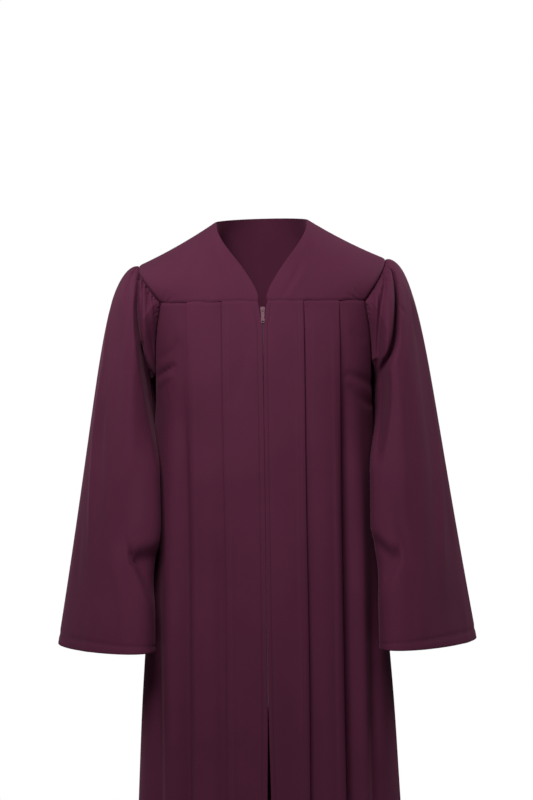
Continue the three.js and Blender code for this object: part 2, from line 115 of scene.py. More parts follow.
# Soft troughs down the skirt, where the cloth drops in beyond a pleat, and ridges, whose depth is negative.
# Each starts at its drop from and is full at its drop full. side is 1 on the left, -1 on the right, 0 on both.
FRONT_FLUTES = table("side out width depth from full", [
    (-1, 71, 12, 6.0, 170, 700),
    (1, 73, 13, 6.5, 190, 760),
    (-1, 129, 11, 13, 150, 520),
    (1, 129, 9.5, 17, 170, 520),
    (-1, 153, 10, -4.5, 300, 700),
    (1, 149, 8, -4.0, 260, 560),
    (-1, 174, 10, 8.0, 380, 800),
    (1, 168, 9, 9.0, 360, 780),
    (-1, 30, 14, 1.4, 420, 900),
    (1, 36, 13, 1.8, 480, 900),
    (0, 196, 10, 3.0, 760, 1250),
])
BACK_FLUTES = table("side out width depth from full", [
    (0, 56, 15, 6, 230, 760),
    (-1, 114, 13, 9, 190, 700),
    (1, 115, 12, 8, 190, 760),
    (-1, 142, 10, -3.0, 280, 760),
    (1, 139, 11, -3.0, 300, 760),
    (0, 168, 10, 4, 420, 900),
    (-1, 14, 12, 2.4, 460, 900),
    (1, 22, 10, -1.6, 460, 900),
])

# Creases that cross the cloth, from one place to another, as x and drop. bow is how far the middle strays.
FRONT_CREASES = table("x0 drop0 x1 drop1 bow width depth", [
    (-168, 250, -137, 229, 2, 4.0, 4.6),
    (-166, 262, -140, 243, 1, 4.0, -2.6),
    (-163, 222, -132, 190, -3, 5.5, 2.6),
    (-20, 172, -54, 300, 4, 11.0, 1.5),
    (172, 268, 128, 246, -3, 7.0, 3.6),
    (171, 300, 134, 262, 3, 7.0, 3.4),
    (160, 196, 136, 178, 2, 6.0, 1.0),
    (24, 190, 46, 330, -3, 12.0, 1.1),
])
YOKE_CREASES = table("x0 drop0 x1 drop1 bow width depth", [
    (74, 30, 25, 134, 7, 5.0, 1.3),
    (84, 32, 33, 134, 8, 6.0, -0.9),
    (-76, 28, -40, 110, -6, 6.0, 0.9),
    (158, 133, 140, 112, 1, 2.2, 1.3),
    (158, 133, 149, 106, 1, 2.2, 1.2),
    (156, 134, 128, 122, 1, 2.4, 0.9),
    (-158, 133, -146, 112, -1, 2.4, 1.2),
    (-157, 134, -134, 121, -1, 2.4, 0.9),
    (-120, 40, -96, 128, 4, 12.0, 0.7),
    (126, 44, 104, 126, -4, 13.0, 0.7),
])

CUFF = {"drop": 670, "out": 254, "fore": 52, "long": 117, "short": 55, "turn": 125}
# A sleeve line leaves the armhole by the first out, fore and up, and comes to the cuff by the second.
# angle runs round the armhole and the cuff: 0 is the shoulder, 90 the front, 180 the underarm, 270 the back.
SLEEVE_LINES = table("angle out fore up cuff_out cuff_fore cuff_up", [
    (0, 60, 0, 0, -63, -15, 378),
    (45, 51, 30, 4, -48, -12, 370),
    (90, 33, 38, -27, -21, -30, 290),
    (135, 11, 28, -55, -9, -32, 220),
    (180, 9, 0, -40, 3, -40, 150),
    (225, 13, -20, -55, -8, -40, 220),
    (270, 38, -36, -20, -35, -40, 290),
    (315, 50, -26, 4, -60, -28, 370),
])

# Folds in the front of the wearer's left sleeve. Each row of a fold is its drop, how far out it is there, its
# width and its depth. A ridge has a negative depth.
LEFT_FRONT_FOLDS = [
    [(84, 203, 2.0, 0), (95, 206, 2.6, 12), (114, 208.4, 3.0, 19), (132, 209, 3.2, 23),
     (155, 208, 3.6, 25), (182, 206, 4.2, 26), (200, 203, 4.6, 24), (214, 199, 5, 22), (229, 192, 6, 18),
     (250, 183, 7, 10), (270, 176, 8, 0)],
    [(96, 193, 2.0, 0), (108, 191, 3.4, 5), (124, 188, 4.4, 6), (146, 184, 5.0, 7.5), (173, 182, 5.2, 9),
     (200, 180.5, 5.2, 10), (227, 179, 5.0, 10), (253, 176.5, 4, 6), (275, 174, 4, 0)],
    [(84, 186, 1.6, 0), (92, 188, 2.4, 4.5), (100, 191, 3.0, 5), (108, 192, 3.0, 0)],
    [(76, 195, 1.4, 0), (82, 198, 1.8, 3.2), (90, 204, 2.2, 3), (98, 207, 2.4, 0)],
    [(110, 171, 1.8, 0), (124, 171.5, 2.4, 2.6), (140, 171, 2.8, 2.6), (160, 170.5, 2.8, 0)],
    [(84, 183, 2.4, 0), (92, 186, 2.6, -1.6), (102, 192, 3.2, -2), (122, 197, 3.8, -2.4),
     (150, 197.5, 4.6, -3), (180, 194, 5, -3), (205, 189.5, 5, -2.4), (235, 185, 5, 0)],
    [(112, 177, 1.8, 0), (122, 177.2, 2.4, -1.6), (145, 177.5, 2.6, -2), (175, 175.5, 2.8, -2),
     (205, 174.5, 2.6, -1.6), (240, 175, 2, 0)],
    [(136, 211, 1.6, 0), (142, 214, 2.6, 1.8), (150, 218, 3, 1.6), (160, 221, 3.4, 0)],
]
LEFT_EDGE_FOLDS = [
    [(100, 219, 2, 0), (116, 226, 2.4, -1.4), (134, 229.5, 2.4, -2), (160, 231, 2.6, -2),
     (190, 230.5, 3, -1.4), (215, 230, 3, 0)],
    [(110, 232, 3, 0), (140, 235, 3.6, 2.2), (175, 239, 4, 2.6), (220, 244, 5, 2.2), (300, 252, 6, 2.0),
     (400, 262, 8, 2.6), (500, 262, 9, 2.6), (600, 258, 9, 0)],
    [(118, 233, 2, 0), (138, 238, 2.6, -2.4), (160, 244, 2.8, -3), (196, 250, 3, -3.4),
     (245, 257, 3.2, -3.6), (291, 263, 3.4, -3.8), (350, 270.5, 3.8, -4), (410, 274, 4.2, -4),
     (476, 275, 4.6, -3.6), (544, 274, 5, -2.6), (600, 270, 6, -1), (640, 268, 6, 0)],
    [(280, 277, 5, 0), (350, 285, 6, 2.4), (476, 291, 9, 3), (560, 292, 10, 2), (640, 292, 10, 0)],
    [(230, 224, 8, 0), (300, 226, 9, 2.4), (400, 229, 10, 2.4), (470, 231, 10, 1.4), (520, 236, 10, 0)],
    [(430, 196, 8, 0), (470, 204, 11, 3.2), (505, 214, 11, 3.2), (550, 226, 11, 0)],
    [(520, 236, 8, 0), (580, 238, 9, -1.8), (660, 236, 9, -1.8), (675, 236, 9, -1.8)],
    [(540, 306, 5, 0), (600, 310, 6, -1.6), (660, 314, 6, -2.0), (675, 314, 6, -2.0)],
]
# The same for the wearer's right sleeve.
RIGHT_FRONT_FOLDS = [
    [(74, 194, 1.6, 0), (84, 194, 2.2, 7), (97, 194.5, 2.6, 12), (118, 195.5, 2.8, 15),
     (139, 196.4, 3.0, 18), (160, 195.4, 3.2, 22), (181, 193.5, 3.6, 26), (202, 190.5, 4.0, 24),
     (220, 187, 5, 10), (236, 183, 6, 0)],
    [(100, 189, 3, 0), (125, 190.5, 4.4, 4), (160, 190.5, 5, 6), (190, 187, 5.4, 6), (214, 181, 6, 4),
     (232, 177, 6, 0)],
    [(74, 187, 1.4, 0), (79, 190, 2.0, 4), (88, 193, 2.2, 5), (96, 194.5, 2.2, 0)],
    [(84, 183, 1.4, 0), (91, 185.5, 2.0, 4), (99, 187.4, 2.2, 5), (112, 188, 2.4, 4), (132, 188.4, 3, 0)],
    [(96, 177, 1.4, 0), (101, 179, 1.8, 3), (108, 180.4, 2.0, 3.2), (120, 180.6, 2.2, 0)],
    [(104, 173.4, 1.4, 0), (110, 175.4, 1.8, 3), (118, 177.4, 2.0, 3.6), (134, 178.4, 2.4, 3),
     (156, 179.2, 3, 0)],
    [(114, 168, 1.4, 0), (119, 170, 1.6, 2), (126, 171, 1.8, 2), (138, 171.4, 2, 0)],
    [(180, 176, 1.4, 0), (200, 173.5, 1.8, 2), (222, 171, 1.8, 2.4), (244, 169, 1.6, 0)],
    [(66, 199, 1.6, 0), (73, 201, 2.2, 4.4), (81, 204.5, 2.8, 5), (93, 207, 3.6, 3.4), (118, 209, 4, 0)],
    [(92, 184, 1.8, 0), (104, 184, 2.2, -1.8), (126, 184.4, 2.4, -2.4), (160, 184, 3, -2),
     (190, 180, 3, 0)],
    [(125, 173, 2, 0), (140, 172, 2.6, -1.4), (170, 171, 3, -1.4), (200, 170, 2.4, 0)],
]
RIGHT_EDGE_FOLDS = [
    [(90, 214, 1.6, 0), (101, 216, 2.0, -1.6), (120, 217, 2.2, -1.8), (138, 217, 2.2, -1.4),
     (160, 217, 2.4, 0)],
    [(86, 208, 3, 0), (110, 210, 4.4, 2.8), (150, 212, 5, 2.2), (200, 214, 5, 0)],
    [(120, 224, 6, 0), (162, 226, 8, 4.0), (216, 227, 9, 4.4), (290, 228, 9, 2), (350, 228, 9, 0)],
    [(124, 238, 2.6, 0), (153, 240.5, 3.4, -2.8), (188, 245, 4, -3), (214, 248.5, 4, -2.4),
     (260, 256, 4, -3), (300, 261, 4.2, -4), (345, 266, 4.2, -4.2), (400, 269.5, 4.4, -4),
     (450, 272, 4.6, -3.4), (500, 273.5, 5, -2), (560, 274, 6, 0)],
    [(270, 246, 5, 0), (330, 254, 6, 3), (400, 257, 7, 3), (460, 259, 8, 2), (520, 260, 8, 0)],
    [(230, 206, 9, 0), (290, 206, 11, -2.6), (350, 206, 12, -2.4), (420, 208, 12, 0)],
    [(380, 204, 12, 0), (440, 212, 14, 3.4), (490, 224, 14, 3.4), (540, 232, 12, 0)],
    [(470, 236, 8, 0), (520, 232, 9, -2.6), (570, 226, 9, -2.8), (630, 222, 9, -1.6), (675, 222, 9, -1)],
    [(600, 276, 5, 0), (640, 278, 6, -1.8), (675, 280, 6, -2.2)],
    [(430, 292, 8, 0), (520, 298, 10, 2.4), (620, 300, 10, 0)],
]
BACK_FOLDS = [
    [(84, 200, 2, 0), (100, 200, 2.8, 10), (130, 200, 3.4, 18), (170, 200, 4.4, 22), (220, 202, 6, 18),
     (280, 208, 9, 8), (330, 212, 10, 0)],
    [(96, 188, 2, 0), (112, 187, 2.6, 6), (140, 186, 3.4, 8), (190, 184, 4.4, 6), (240, 184, 6, 0)],
    [(80, 214, 2, 0), (104, 219, 3.4, 4), (150, 224, 5, 4), (220, 230, 8, 0)],
    [(380, 214, 8, 0), (440, 226, 12, 8), (500, 246, 14, 9), (560, 268, 14, 0)],
    [(460, 272, 8, 0), (540, 280, 10, -3), (670, 286, 10, -3)],
]
BACK_EDGE_FOLDS = [
    [(120, 240, 3, 0), (180, 248, 4, -2.6), (300, 262, 5, -3.2), (450, 270, 6, -3), (600, 274, 7, 0)],
]

# Where the sleeve's front falls back beside the body, under the arm: drop, from and to out, and how far back.
LEFT_HOLLOW = {
    "rows": [(222, 176, 188, 0), (245, 150, 189, 22), (264, 140, 190, 36), (300, 140, 188, 44),
             (338, 140, 183, 34), (366, 140, 178, 16), (392, 140, 173, 0)],
    "inner": 2.5, "outer": 9,
}
RIGHT_HOLLOW = {
    "rows": [(192, 187.5, 192.5, 0), (210, 185.5, 191.5, 26), (230, 179.5, 189.5, 40), (247, 171.5, 187, 48),
             (262, 165, 185, 50), (285, 140, 182, 50), (313, 140, 177, 42), (350, 140, 171, 16),
             (380, 140, 168, 0)],
    "inner": 2.2, "outer": 4.5,
}
# Where it is drawn in above the cuff. The edge is given as drop and out, the top as out and drop.
LEFT_POCKET = {
    "edge": [(500, 217), (515, 213.5), (534, 209), (549, 202), (575, 191), (600, 180)],
    "top": [(170, 488), (191, 506), (203, 508), (214, 512)],
    "depth": 12, "sharp": 12, "soft": 26, "close": (540, 600),
}
RIGHT_POCKET = {
    "edge": [(470, 226), (490, 221), (526, 213), (543, 203), (576, 188), (600, 180)],
    "top": [(170, 500), (190, 503), (205, 505), (222, 480)],
    "depth": 17, "sharp": 11, "soft": 30, "close": (550, 620),
}
# The two sleeves by their side. seed sets out the small gathers at the head.
SLEEVES = {
    1: {"folds": LEFT_FRONT_FOLDS, "edges": LEFT_EDGE_FOLDS, "seed": 3,
        "hollow": LEFT_HOLLOW, "pocket": LEFT_POCKET},
    -1: {"folds": RIGHT_FRONT_FOLDS, "edges": RIGHT_EDGE_FOLDS, "seed": 11,
         "hollow": RIGHT_HOLLOW, "pocket": RIGHT_POCKET},
}
# The angles at which the folds of a sleeve's front, and of its back, start, are full, begin to fade and end.
SLEEVE_FRONT, SLEEVE_BACK = (3, 22, 168, 196), (200, 214, 338, 357)
# The sleeve's inner side swings in front of the body between these drops.
INNER_SWING = {"angle": 138, "spread": 26, "by": 12, "from": 300, "full": 400, "fade": 470, "to": 590}
# The roll of the sleeve into its seam, as a share of its length, and the dip along the cuff's stitching.
HEAD_ROLL = {"depth": 1.2, "share": 0.004}
CUFF_DIP = {"depth": 0.9, "above": 8, "width": 1.8, "length": 600}
GATHERS = {"span": 104, "pitch": 3.7, "width": 1.15, "depth": 3.1, "reach": 0.035, "drift": 14}
# A sleeve is kept this far out of the body's form, from this drop down.
BODY_GAP, BODY_GAP_DROP = 2.5, ARMHOLE["drop"] - 110

# The wearer's right shoulder is lower: the cloth tilts above these drops. The yoke's front seam is wavy.
SHOULDER_TILT = {"slope": 0.0148, "from": 75, "to": 130}
SEAM_WAVES, SEAM_WAVE_REACH = [(0.5, 9.5, 0.0), (0.45, 5.3, 1.3)], 9

# How deep the hems are, how round the neck's turned edge is, and how far in a seam allowance's rows lie.
BODY_HEM, CUFF_HEM, NECK_HEM, NECK_TURN = 22, 14, 9, 0.8
ALLOWANCE_ROWS = (0.7, 3, 8)
# The last drop of the close rows over the chest, where the panels are creased.
CHEST_DROP = 344

# The zip coil's turns, in metres: their pitch, how far the first and last are from the chain's ends, and how
# much shorter they are than the chain is wide.
COIL = {"pitch": 0.0017, "first": 0.0027, "last": 0.0005, "short": 0.0004}
# The width of a thread of the weave, in metres.
THREAD = 0.0004
STITCH = {"pitch": 3.0, "long": 2.2, "half": 0.28, "high": 0.22, "lift": 0.45}
# Where the stitching runs on the pieces' grids: along columns of a front panel and along rows above the hems.
FRONT_STITCH_COLUMN, PLEAT_STITCH_COLUMN = 14, 30
HEM_STITCH_ROW, CUFF_STITCH_ROW = -12, -14


def curve(keys, values, at):
    """A smooth curve through values at their keys."""
    keys, values = np.array(keys, float), np.array(values, float)
    slopes = np.empty_like(values)
    slopes[1:-1] = (values[2:] - values[:-2]) / (keys[2:] - keys[:-2])
    slopes[0] = (values[1] - values[0]) / (keys[1] - keys[0])
    slopes[-1] = (values[-1] - values[-2]) / (keys[-1] - keys[-2])
    i = np.clip(np.searchsorted(keys, at, side="right") - 1, 0, len(keys) - 2)
    span = keys[i + 1] - keys[i]
    t = np.clip((at - keys[i]) / span, 0, 1)
    t2, t3 = t * t, t * t * t
    start = (2 * t3 - 3 * t2 + 1) * values[i] + (t3 - 2 * t2 + t) * span * slopes[i]
    end = (3 * t2 - 2 * t3) * values[i + 1] + (t3 - t2) * span * slopes[i + 1]
    return start + end


def along(table, key, column, at):
    return curve([row[key] for row in table], [row[column] for row in table], at)


def through(rows, column, at):
    return curve([row[0] for row in rows], [row[column] for row in rows], at)


def around(table, column, angle):
    """The same for a table that goes once round, keyed by an angle in degrees."""
    before = [{**row, "angle": row["angle"] - 360} for row in table[-2:]]
    after = [{**row, "angle": row["angle"] + 360} for row in table[:2]]
    return along([*before, *table, *after], "angle", column, angle)


def grown(at, start, full):
    """0 at the start and 1 when full, smoothly."""
    t = np.clip((at - start) / (full - start), 0, 1)
    return t * t * (3 - 2 * t)


def bell(away, width):
    return np.exp(-((away / width) ** 2))


# ---- Surfaces ----
def form_point(drop, angle, facing, inset=0.0):
    """A point of the body's form: angle is 0 at the side, and a right angle on the middle line."""
    half, square = along(FORM, "drop", "half", drop), along(FORM, "drop", "square", drop)
    depth = along(FORM, "drop", "front" if facing < 0 else "back", drop)
    power = 2 / square
    c, s = np.maximum(np.cos(angle), 1e-6), np.maximum(np.sin(angle), 1e-6)
    nx, ny = c ** (2 - power) / half, facing * s ** (2 - power) / depth
    size = np.hypot(nx, ny)
    x = half * c**power - inset * nx / size
    y = facing * depth * s**power - inset * ny / size
    return np.stack(np.broadcast_arrays(x, y, -drop), axis=-1)


def angle_at(drop, out):
    half, square = along(FORM, "drop", "half", drop), along(FORM, "drop", "square", drop)
    return np.arccos(np.clip(out / half, 0, 1) ** (square / 2))


def armhole_angle(drop, facing):
    """Where the armhole cuts the form. Below the underarm it is the side seam."""
    out = through(FRONT_ARMHOLE if facing < 0 else BACK_ARMHOLE, 1, drop)
    return np.where(drop < ARMHOLE["drop"], angle_at(drop, out), 0)


def flute_inset(x, drop, flutes):
    """How far the skirt's soft troughs and ridges move the cloth in."""
    side = np.sign(x)
    total = 0.0
    for f in flutes:
        here = 1.0 if f["side"] == 0 else (side == f["side"])
        across = bell(abs(x) - f["out"], f["width"])
        total = total + here * f["depth"] * across * grown(drop, f["from"], f["full"])
    return total


def crease_inset(x, drop, creases):
    """How far the creases that cross the cloth move it in."""
    total = 0.0
    for c in creases:
        dx, dz = c["x1"] - c["x0"], c["drop1"] - c["drop0"]
        length = math.hypot(dx, dz)
        t = ((x - c["x0"]) * dx + (drop - c["drop0"]) * dz) / length**2
        inside = np.clip(t, 0, 1)
        bowed = c["bow"] * 4 * inside * (1 - inside)
        across = ((x - c["x0"]) * dz - (drop - c["drop0"]) * dx) / length - bowed
        total = total + c["depth"] * bell(across, c["width"]) * np.sin(np.pi * inside) ** 0.6
    return total


def pleat_path(pleat, edge_stitch):
    """Out, inset and layer along a knife pleat: from its own panel, round both folds, to the next panel."""
    at, tuck, turn = pleat["at"], pleat["tuck"], PLEAT_TURN
    fold = np.linspace(-np.pi / 2, np.pi / 2, 7)
    dip = 0.45 if edge_stitch else 0.0
    top_out = at - np.array([10.5, 9.2, 8.0, 6.8, 5.0, 2.8])
    top = [top_out, dip * bell(top_out - (at - 8), 1.0)]
    outer = [at - turn + turn * np.cos(fold), turn + turn * np.sin(fold)]
    under_out = np.linspace(at - 3, at - tuck + 2, 4)
    under = [under_out, np.full(4, 2 * turn)]
    inner = [at - tuck - turn * np.cos(fold), 3 * turn + turn * np.sin(fold)]
    shelf_out = at + np.array([3 - tuck, -5, -1.2, 0.2, 1.4, PLEAT_SHELF])
    shelf = [shelf_out, 4 * turn + 2.6 * bell(shelf_out - at - 0.2, 1.3)]
    ramp_out = np.linspace(at + PLEAT_SHELF + 2.5, at + PLEAT_RAMP, 6)
    ramp = [ramp_out, 4 * turn - 2 * turn * grown(ramp_out, at + PLEAT_SHELF, at + PLEAT_RAMP)]
    stretches = [top, outer, under, inner, shelf, ramp]
    layer = [1.0, 1.0, 0.6, 0.3, 0.0, 0.0]
    out = np.concatenate([s[0] for s in stretches])
    inset = np.concatenate([s[1] for s in stretches])
    lift = np.concatenate([np.full(len(s[0]), w) for s, w in zip(stretches, layer)])
    return out, inset, lift


def panel_rows(drops, facing, side, start_path, pleats, flutes, creases, yoke):
    """One half of a body panel. start_path(drop) gives its stations from the middle, as out and inset."""
    rows = []
    t = np.linspace(0, 1, 37)[1:]
    for drop in drops:
        out, inset = start_path(drop)
        lift = np.zeros_like(out)
        for k, pleat in enumerate(pleats):
            sway = math.sin(drop / PLEAT_STRAY["wave"] + 2 * k + side)
            stray = PLEAT_STRAY["by"] * sway * grown(drop, PLEAT_STRAY["from"], PLEAT_STRAY["full"])
            p_out, p_inset, p_lift = pleat_path({**pleat, "at": pleat["at"] + stray}, facing < 0 and k == 0)
            if k:
                between = np.linspace(out[-1], p_out[0], 11)[1:-1]
                rise = np.linspace(inset[-1], p_inset[0], 11)[1:-1]
                out, inset = np.concatenate([out, between]), np.concatenate([inset, rise])
                lift = np.concatenate([lift, np.zeros(9)])
            out, inset = np.concatenate([out, p_out]), np.concatenate([inset, p_inset])
            edge = bell(p_out - pleat["at"], PLEAT_SPRING["width"])
            lift = np.concatenate([lift, p_lift * edge])
        spring = sum(by * grown(drop, start, full) for by, start, full in PLEAT_SPRING["amounts"])
        inset = inset - lift * spring
        near_angle = angle_at(drop, out)
        side_angle = near_angle[-1] + (armhole_angle(drop, facing) - near_angle[-1]) * t
        angle = np.concatenate([near_angle, side_angle])
        base = np.concatenate([inset, inset[-1] * (1 - t) ** 2])
        place = form_point(drop, angle, facing)
        x = side * place[:, 0]
        moved = base + flute_inset(x, drop, flutes) + crease_inset(x, drop, creases)
        moved = moved + edge_dip(place[None])[0]
        below = drop - yoke["drop"]
        moved = moved * (1 - YOKE_HOLD["share"] * bell(below, YOKE_HOLD["reach"])) + seam_dip(below)
        row = form_point(drop, angle, facing, moved)
        row[:, 0] *= side
        row[:, 1] += facing * SEAM
        rows.append(row)
    return np.array(rows)


def seam_dip(away):
    """Cloth rolls in over its last few millimetres before a seam."""
    return 1.1 * bell(away, 2.2)


def front_start(drop):
    """From under the turned-in front edge, round it, past its stitching and out to the first pleat."""
    edge = float(along(FRONT_EDGE, "drop", "out", drop))
    turn = PLEAT_TURN
    fold = np.linspace(np.pi / 2, -np.pi / 2, 7)
    under = [edge + np.array([11.0, 7.0, 3.0]), np.full(3, 2 * turn)]
    bend = [edge + turn - turn * np.cos(fold), turn + turn * np.sin(fold)]
    band_out = edge + np.array([2.0, 3.6, 5.2, 6.2, 7.0, 7.8, 8.8, 10.4, 13.0])
    band = [band_out, 1.1 * bell(band_out - edge - 7.0, 1.2)]
    panel = [np.linspace(edge + 16.5, FRONT_PLEATS[0]["at"] - 13.5, 9), np.zeros(9)]
    return tuple(np.concatenate([s[i] for s in (under, bend, band, panel)]) for i in (0, 1))


def back_start(drop):
    out = np.linspace(0, BACK_PLEATS[0]["at"] - 13.5, 10)
    return out, np.zeros_like(out)


def panel_drops(top, creased=0):
    """The drops of a panel's rows: close together under the yoke and where it is creased, then even."""
    close = top + np.array([0, 0.8, 1.8, 3.2, 5.0, 7.5, 11, 15, 20])
    chest = np.linspace(top + 24, CHEST_DROP, creased, endpoint=False)
    even = np.linspace(CHEST_DROP if creased else top + 28, LENGTH, 100 if creased else 112)
    return np.concatenate([close, chest, even])


def shoulder_drop(out):
    run = out - NECK_HALF
    return SHOULDER_SLOPE * run - SHOULDER_EASE * run * run


def yoke_forward(t, roundness):
    return (1 - roundness) * t + roundness * np.sin(t * np.pi / 2)


def yoke_downward(t, roundness):
    return (1 - roundness) * t + roundness * (1 - np.cos(t * np.pi / 2))


def front_yoke_point(u, t):
    """u runs from the neckline to the armhole, t from the shoulder seam to the yoke seam."""
    top = shoulder_drop(NECK_HALF + (SHOULDER_HALF - NECK_HALF) * u)
    bottom = NECKLINE[-1][1]
    seam_out = bottom + (FRONT_YOKE["corner"] - bottom) * u
    seam = form_point(FRONT_YOKE["drop"] + 0 * u, angle_at(FRONT_YOKE["drop"], seam_out), -1)
    fall = yoke_downward(t, YOKE_ROUND)
    neck_out = through(NECKLINE, 1, FRONT_YOKE["drop"] * fall)
    arm_out = SHOULDER_HALF + (FRONT_YOKE["corner"] - SHOULDER_HALF) * fall**1.4
    x = neck_out + (arm_out - neck_out) * u
    y = seam[..., 1] * yoke_forward(t, YOKE_ROUND) - SEAM
    z = -(top + (FRONT_YOKE["drop"] - top) * fall)
    return np.stack(np.broadcast_arrays(x, y, z), axis=-1)


def back_yoke_point(u, t):
    """u runs from the middle of the nape to the armhole, t from the neckline or shoulder to the yoke seam."""
    share = BACK_YOKE["neck_share"]
    on_neck = np.clip(u / share, 0, 1)
    turn = on_neck * np.pi / 2
    out = NECK_HALF + (SHOULDER_HALF - NECK_HALF) * np.clip((u - share) / (1 - share), 0, 1)
    nape = u < share
    top_x = np.where(nape, NECK_HALF * np.sin(turn), out)
    top_y = np.where(nape, NAPE_BACK * np.cos(turn), 0)
    top_z = np.where(nape, NAPE_RISE * np.cos(turn), -shoulder_drop(out))
    seam = form_point(BACK_YOKE["drop"] + 0 * u, angle_at(BACK_YOKE["drop"], BACK_YOKE["corner"] * u), 1)
    roundness = YOKE_ROUND - BACK_YOKE["flatness"] * (1 - on_neck)
    fall = yoke_downward(t, roundness)
    x = top_x + (seam[..., 0] - top_x) * fall**1.2
    y = top_y + (seam[..., 1] - top_y) * yoke_forward(t, roundness) + SEAM
    z = top_z + (seam[..., 2] - top_z) * fall
    return np.stack(np.broadcast_arrays(x, y, z), axis=-1)


def normals(points, outward, closed=False):
    """The outward normal at each point of a grid of rows."""
    down = np.gradient(points, axis=0)
    if closed:
        over = (np.roll(points, -1, axis=1) - np.roll(points, 1, axis=1)) / 2
    else:
        over = np.gradient(points, axis=1)
    n = np.cross(down, over) * outward
    return n / np.maximum(np.linalg.norm(n, axis=-1, keepdims=True), 1e-9)


def moved_in(points, depth, outward, closed=False):
    """A grid with each of its points moved in by its depth, along the cloth's normal."""
    return points - normals(points, outward, closed) * np.asarray(depth)[..., None]


def hemmed(points, outward, closed=False, turn=0.9, deep=10.0, first=False):
    """A grid with its last row, or its first, turned under: round the edge and back up inside by deep."""
    rows, normal = points, normals(points, outward, closed)
    if first:
        rows, normal = rows[::-1], normal[::-1]
    onward = rows[-1] - rows[-2]
    onward /= np.linalg.norm(onward, axis=-1, keepdims=True)
    extra = []
    for a in np.linspace(0, np.pi, 7)[1:]:
        extra.append(rows[-1] + turn * math.sin(a) * onward - turn * (1 - math.cos(a)) * normal[-1])
    steps = np.linalg.norm(np.diff(rows, axis=0), axis=-1).mean(axis=-1)
    away = np.concatenate([[0], np.cumsum(steps[::-1])])
    inside = (rows - 2 * turn * normal)[::-1]
    for back in np.linspace(deep / 3, deep, 3):
        i = int(np.searchsorted(away, back)) - 1
        t = (back - away[i]) / (away[i + 1] - away[i])
        extra.append(inside[i] * (1 - t) + inside[i + 1] * t)
    made = np.concatenate([rows, np.array(extra)])
    return made[::-1] if first else made


def turned_side(points, outward, **how):
    """The same for a grid's first column."""
    across = np.swapaxes(points, 0, 1)
    return np.swapaxes(hemmed(across, -outward, first=True, **how), 0, 1)


def armhole_edge(facing):
    """The armhole's edge from the shoulder down to the underarm, before or behind."""
    yoke, point = (FRONT_YOKE, front_yoke_point) if facing < 0 else (BACK_YOKE, back_yoke_point)
    on_yoke = point(np.ones(60), np.linspace(0, 1, 60))
    t = np.linspace(0, 1, 200)[1:]
    drop = ARMHOLE["drop"] - (ARMHOLE["drop"] - yoke["drop"]) * (1 - t) ** 1.6
    on_panel = form_point(drop, armhole_angle(drop, facing), facing)
    return np.concatenate([on_yoke, on_panel])


def spaced(points, shares):
    """Points at these shares of the length of a line."""
    length = np.concatenate([[0], np.cumsum(np.linalg.norm(np.diff(points, axis=0), axis=1))])
    at = np.asarray(shares) * length[-1]
    return np.stack([np.interp(at, length, points[:, k]) for k in range(3)], axis=-1)


def armhole_ring(angles):
    """Where a sleeve starts, at angles round the armhole from the shoulder by the front."""
    front = spaced(armhole_edge(-1), np.clip(angles / 180, 0, 1))
    back = spaced(armhole_edge(1), np.clip((360 - angles) / 180, 0, 1))
    ring = np.where((angles <= 180)[:, None], front, back)
    ring[np.isclose(angles % 180, 0), 1] = 0
    inward = ring.mean(axis=0) - ring
    inward /= np.linalg.norm(inward, axis=1, keepdims=True)
    return ring + ARMHOLE["tuck"] * inward + np.array([ARMHOLE["out"], 0, 0])


def heading(degrees):
    a = math.radians(degrees)
    return np.array([math.cos(a), -math.sin(a), 0])


def cuff_ring(angles):
    a = np.radians(angles - CUFF["turn"])[:, None]
    middle = np.array([CUFF["out"], -CUFF["fore"], -CUFF["drop"]])
    along_it = CUFF["long"] * np.cos(a) * heading(CUFF["turn"])
    return middle + along_it + CUFF["short"] * np.sin(a) * heading(CUFF["turn"] + 90)


def sleeve_angles():
    """Columns round a sleeve: closer together in front, where its folds are closest."""
    stretches = [(0, 24, 20), (24, 128, 204), (128, 180, 34), (180, 240, 20), (240, 300, 54), (300, 360, 32)]
    return np.concatenate([np.linspace(a, b, n, endpoint=False) for a, b, n in stretches])


def gathers(angles, s, seed):
    """How far the small gathers at the sleeve's head move it in. They run down from the seam and fade."""
    g, down = GATHERS, s[:, None]
    total = np.zeros((len(s), len(angles)))
    angle, k = -float(g["span"]), seed
    while angle < g["span"]:
        wander = math.sin(2.4 * k)
        width = g["width"] + 0.35 * math.sin(1.7 * k + 1)
        reach = g["reach"] + 0.028 * (1 + wander) + 0.05 * (k % 6 == 0)
        depth = (g["depth"] + 1.1 * math.cos(3.1 * k)) * grown(g["span"] - 20 - abs(angle), 0, 30)
        away = (angles[None, :] - angle - g["drift"] * wander * down + 540) % 360 - 180
        fade = np.clip(1 - down / reach, 0, 1) * grown(down, -0.004, 0.006)
        total += depth * bell(away, width * (1 + 6 * down)) * fade
        angle += g["pitch"] + 0.9 * wander
        k += 1
    return total


def folds_depth(x, drop, folds):
    """How deep a set of folds is, each row of a fold being its drop, out, width and depth."""
    total = 0.0
    for rows in folds:
        width = np.maximum(through(rows, 2, drop), 1)
        inside = (drop > rows[0][0]) & (drop < rows[-1][0] + 20)
        total = total + inside * through(rows, 3, drop) * bell(x - through(rows, 1, drop), width)
    return total


def hollow_depth(x, drop, hollow):
    """How far back the sleeve's front falls under the arm."""
    rows = hollow["rows"]
    inner, outer, depth = (through(rows, k, drop) for k in (1, 2, 3))
    into = grown(x, inner - hollow["inner"], inner + hollow["inner"])
    return np.maximum(depth, 0) * into * grown(-x, -outer - hollow["outer"], hollow["outer"] * 0.4 - outer)


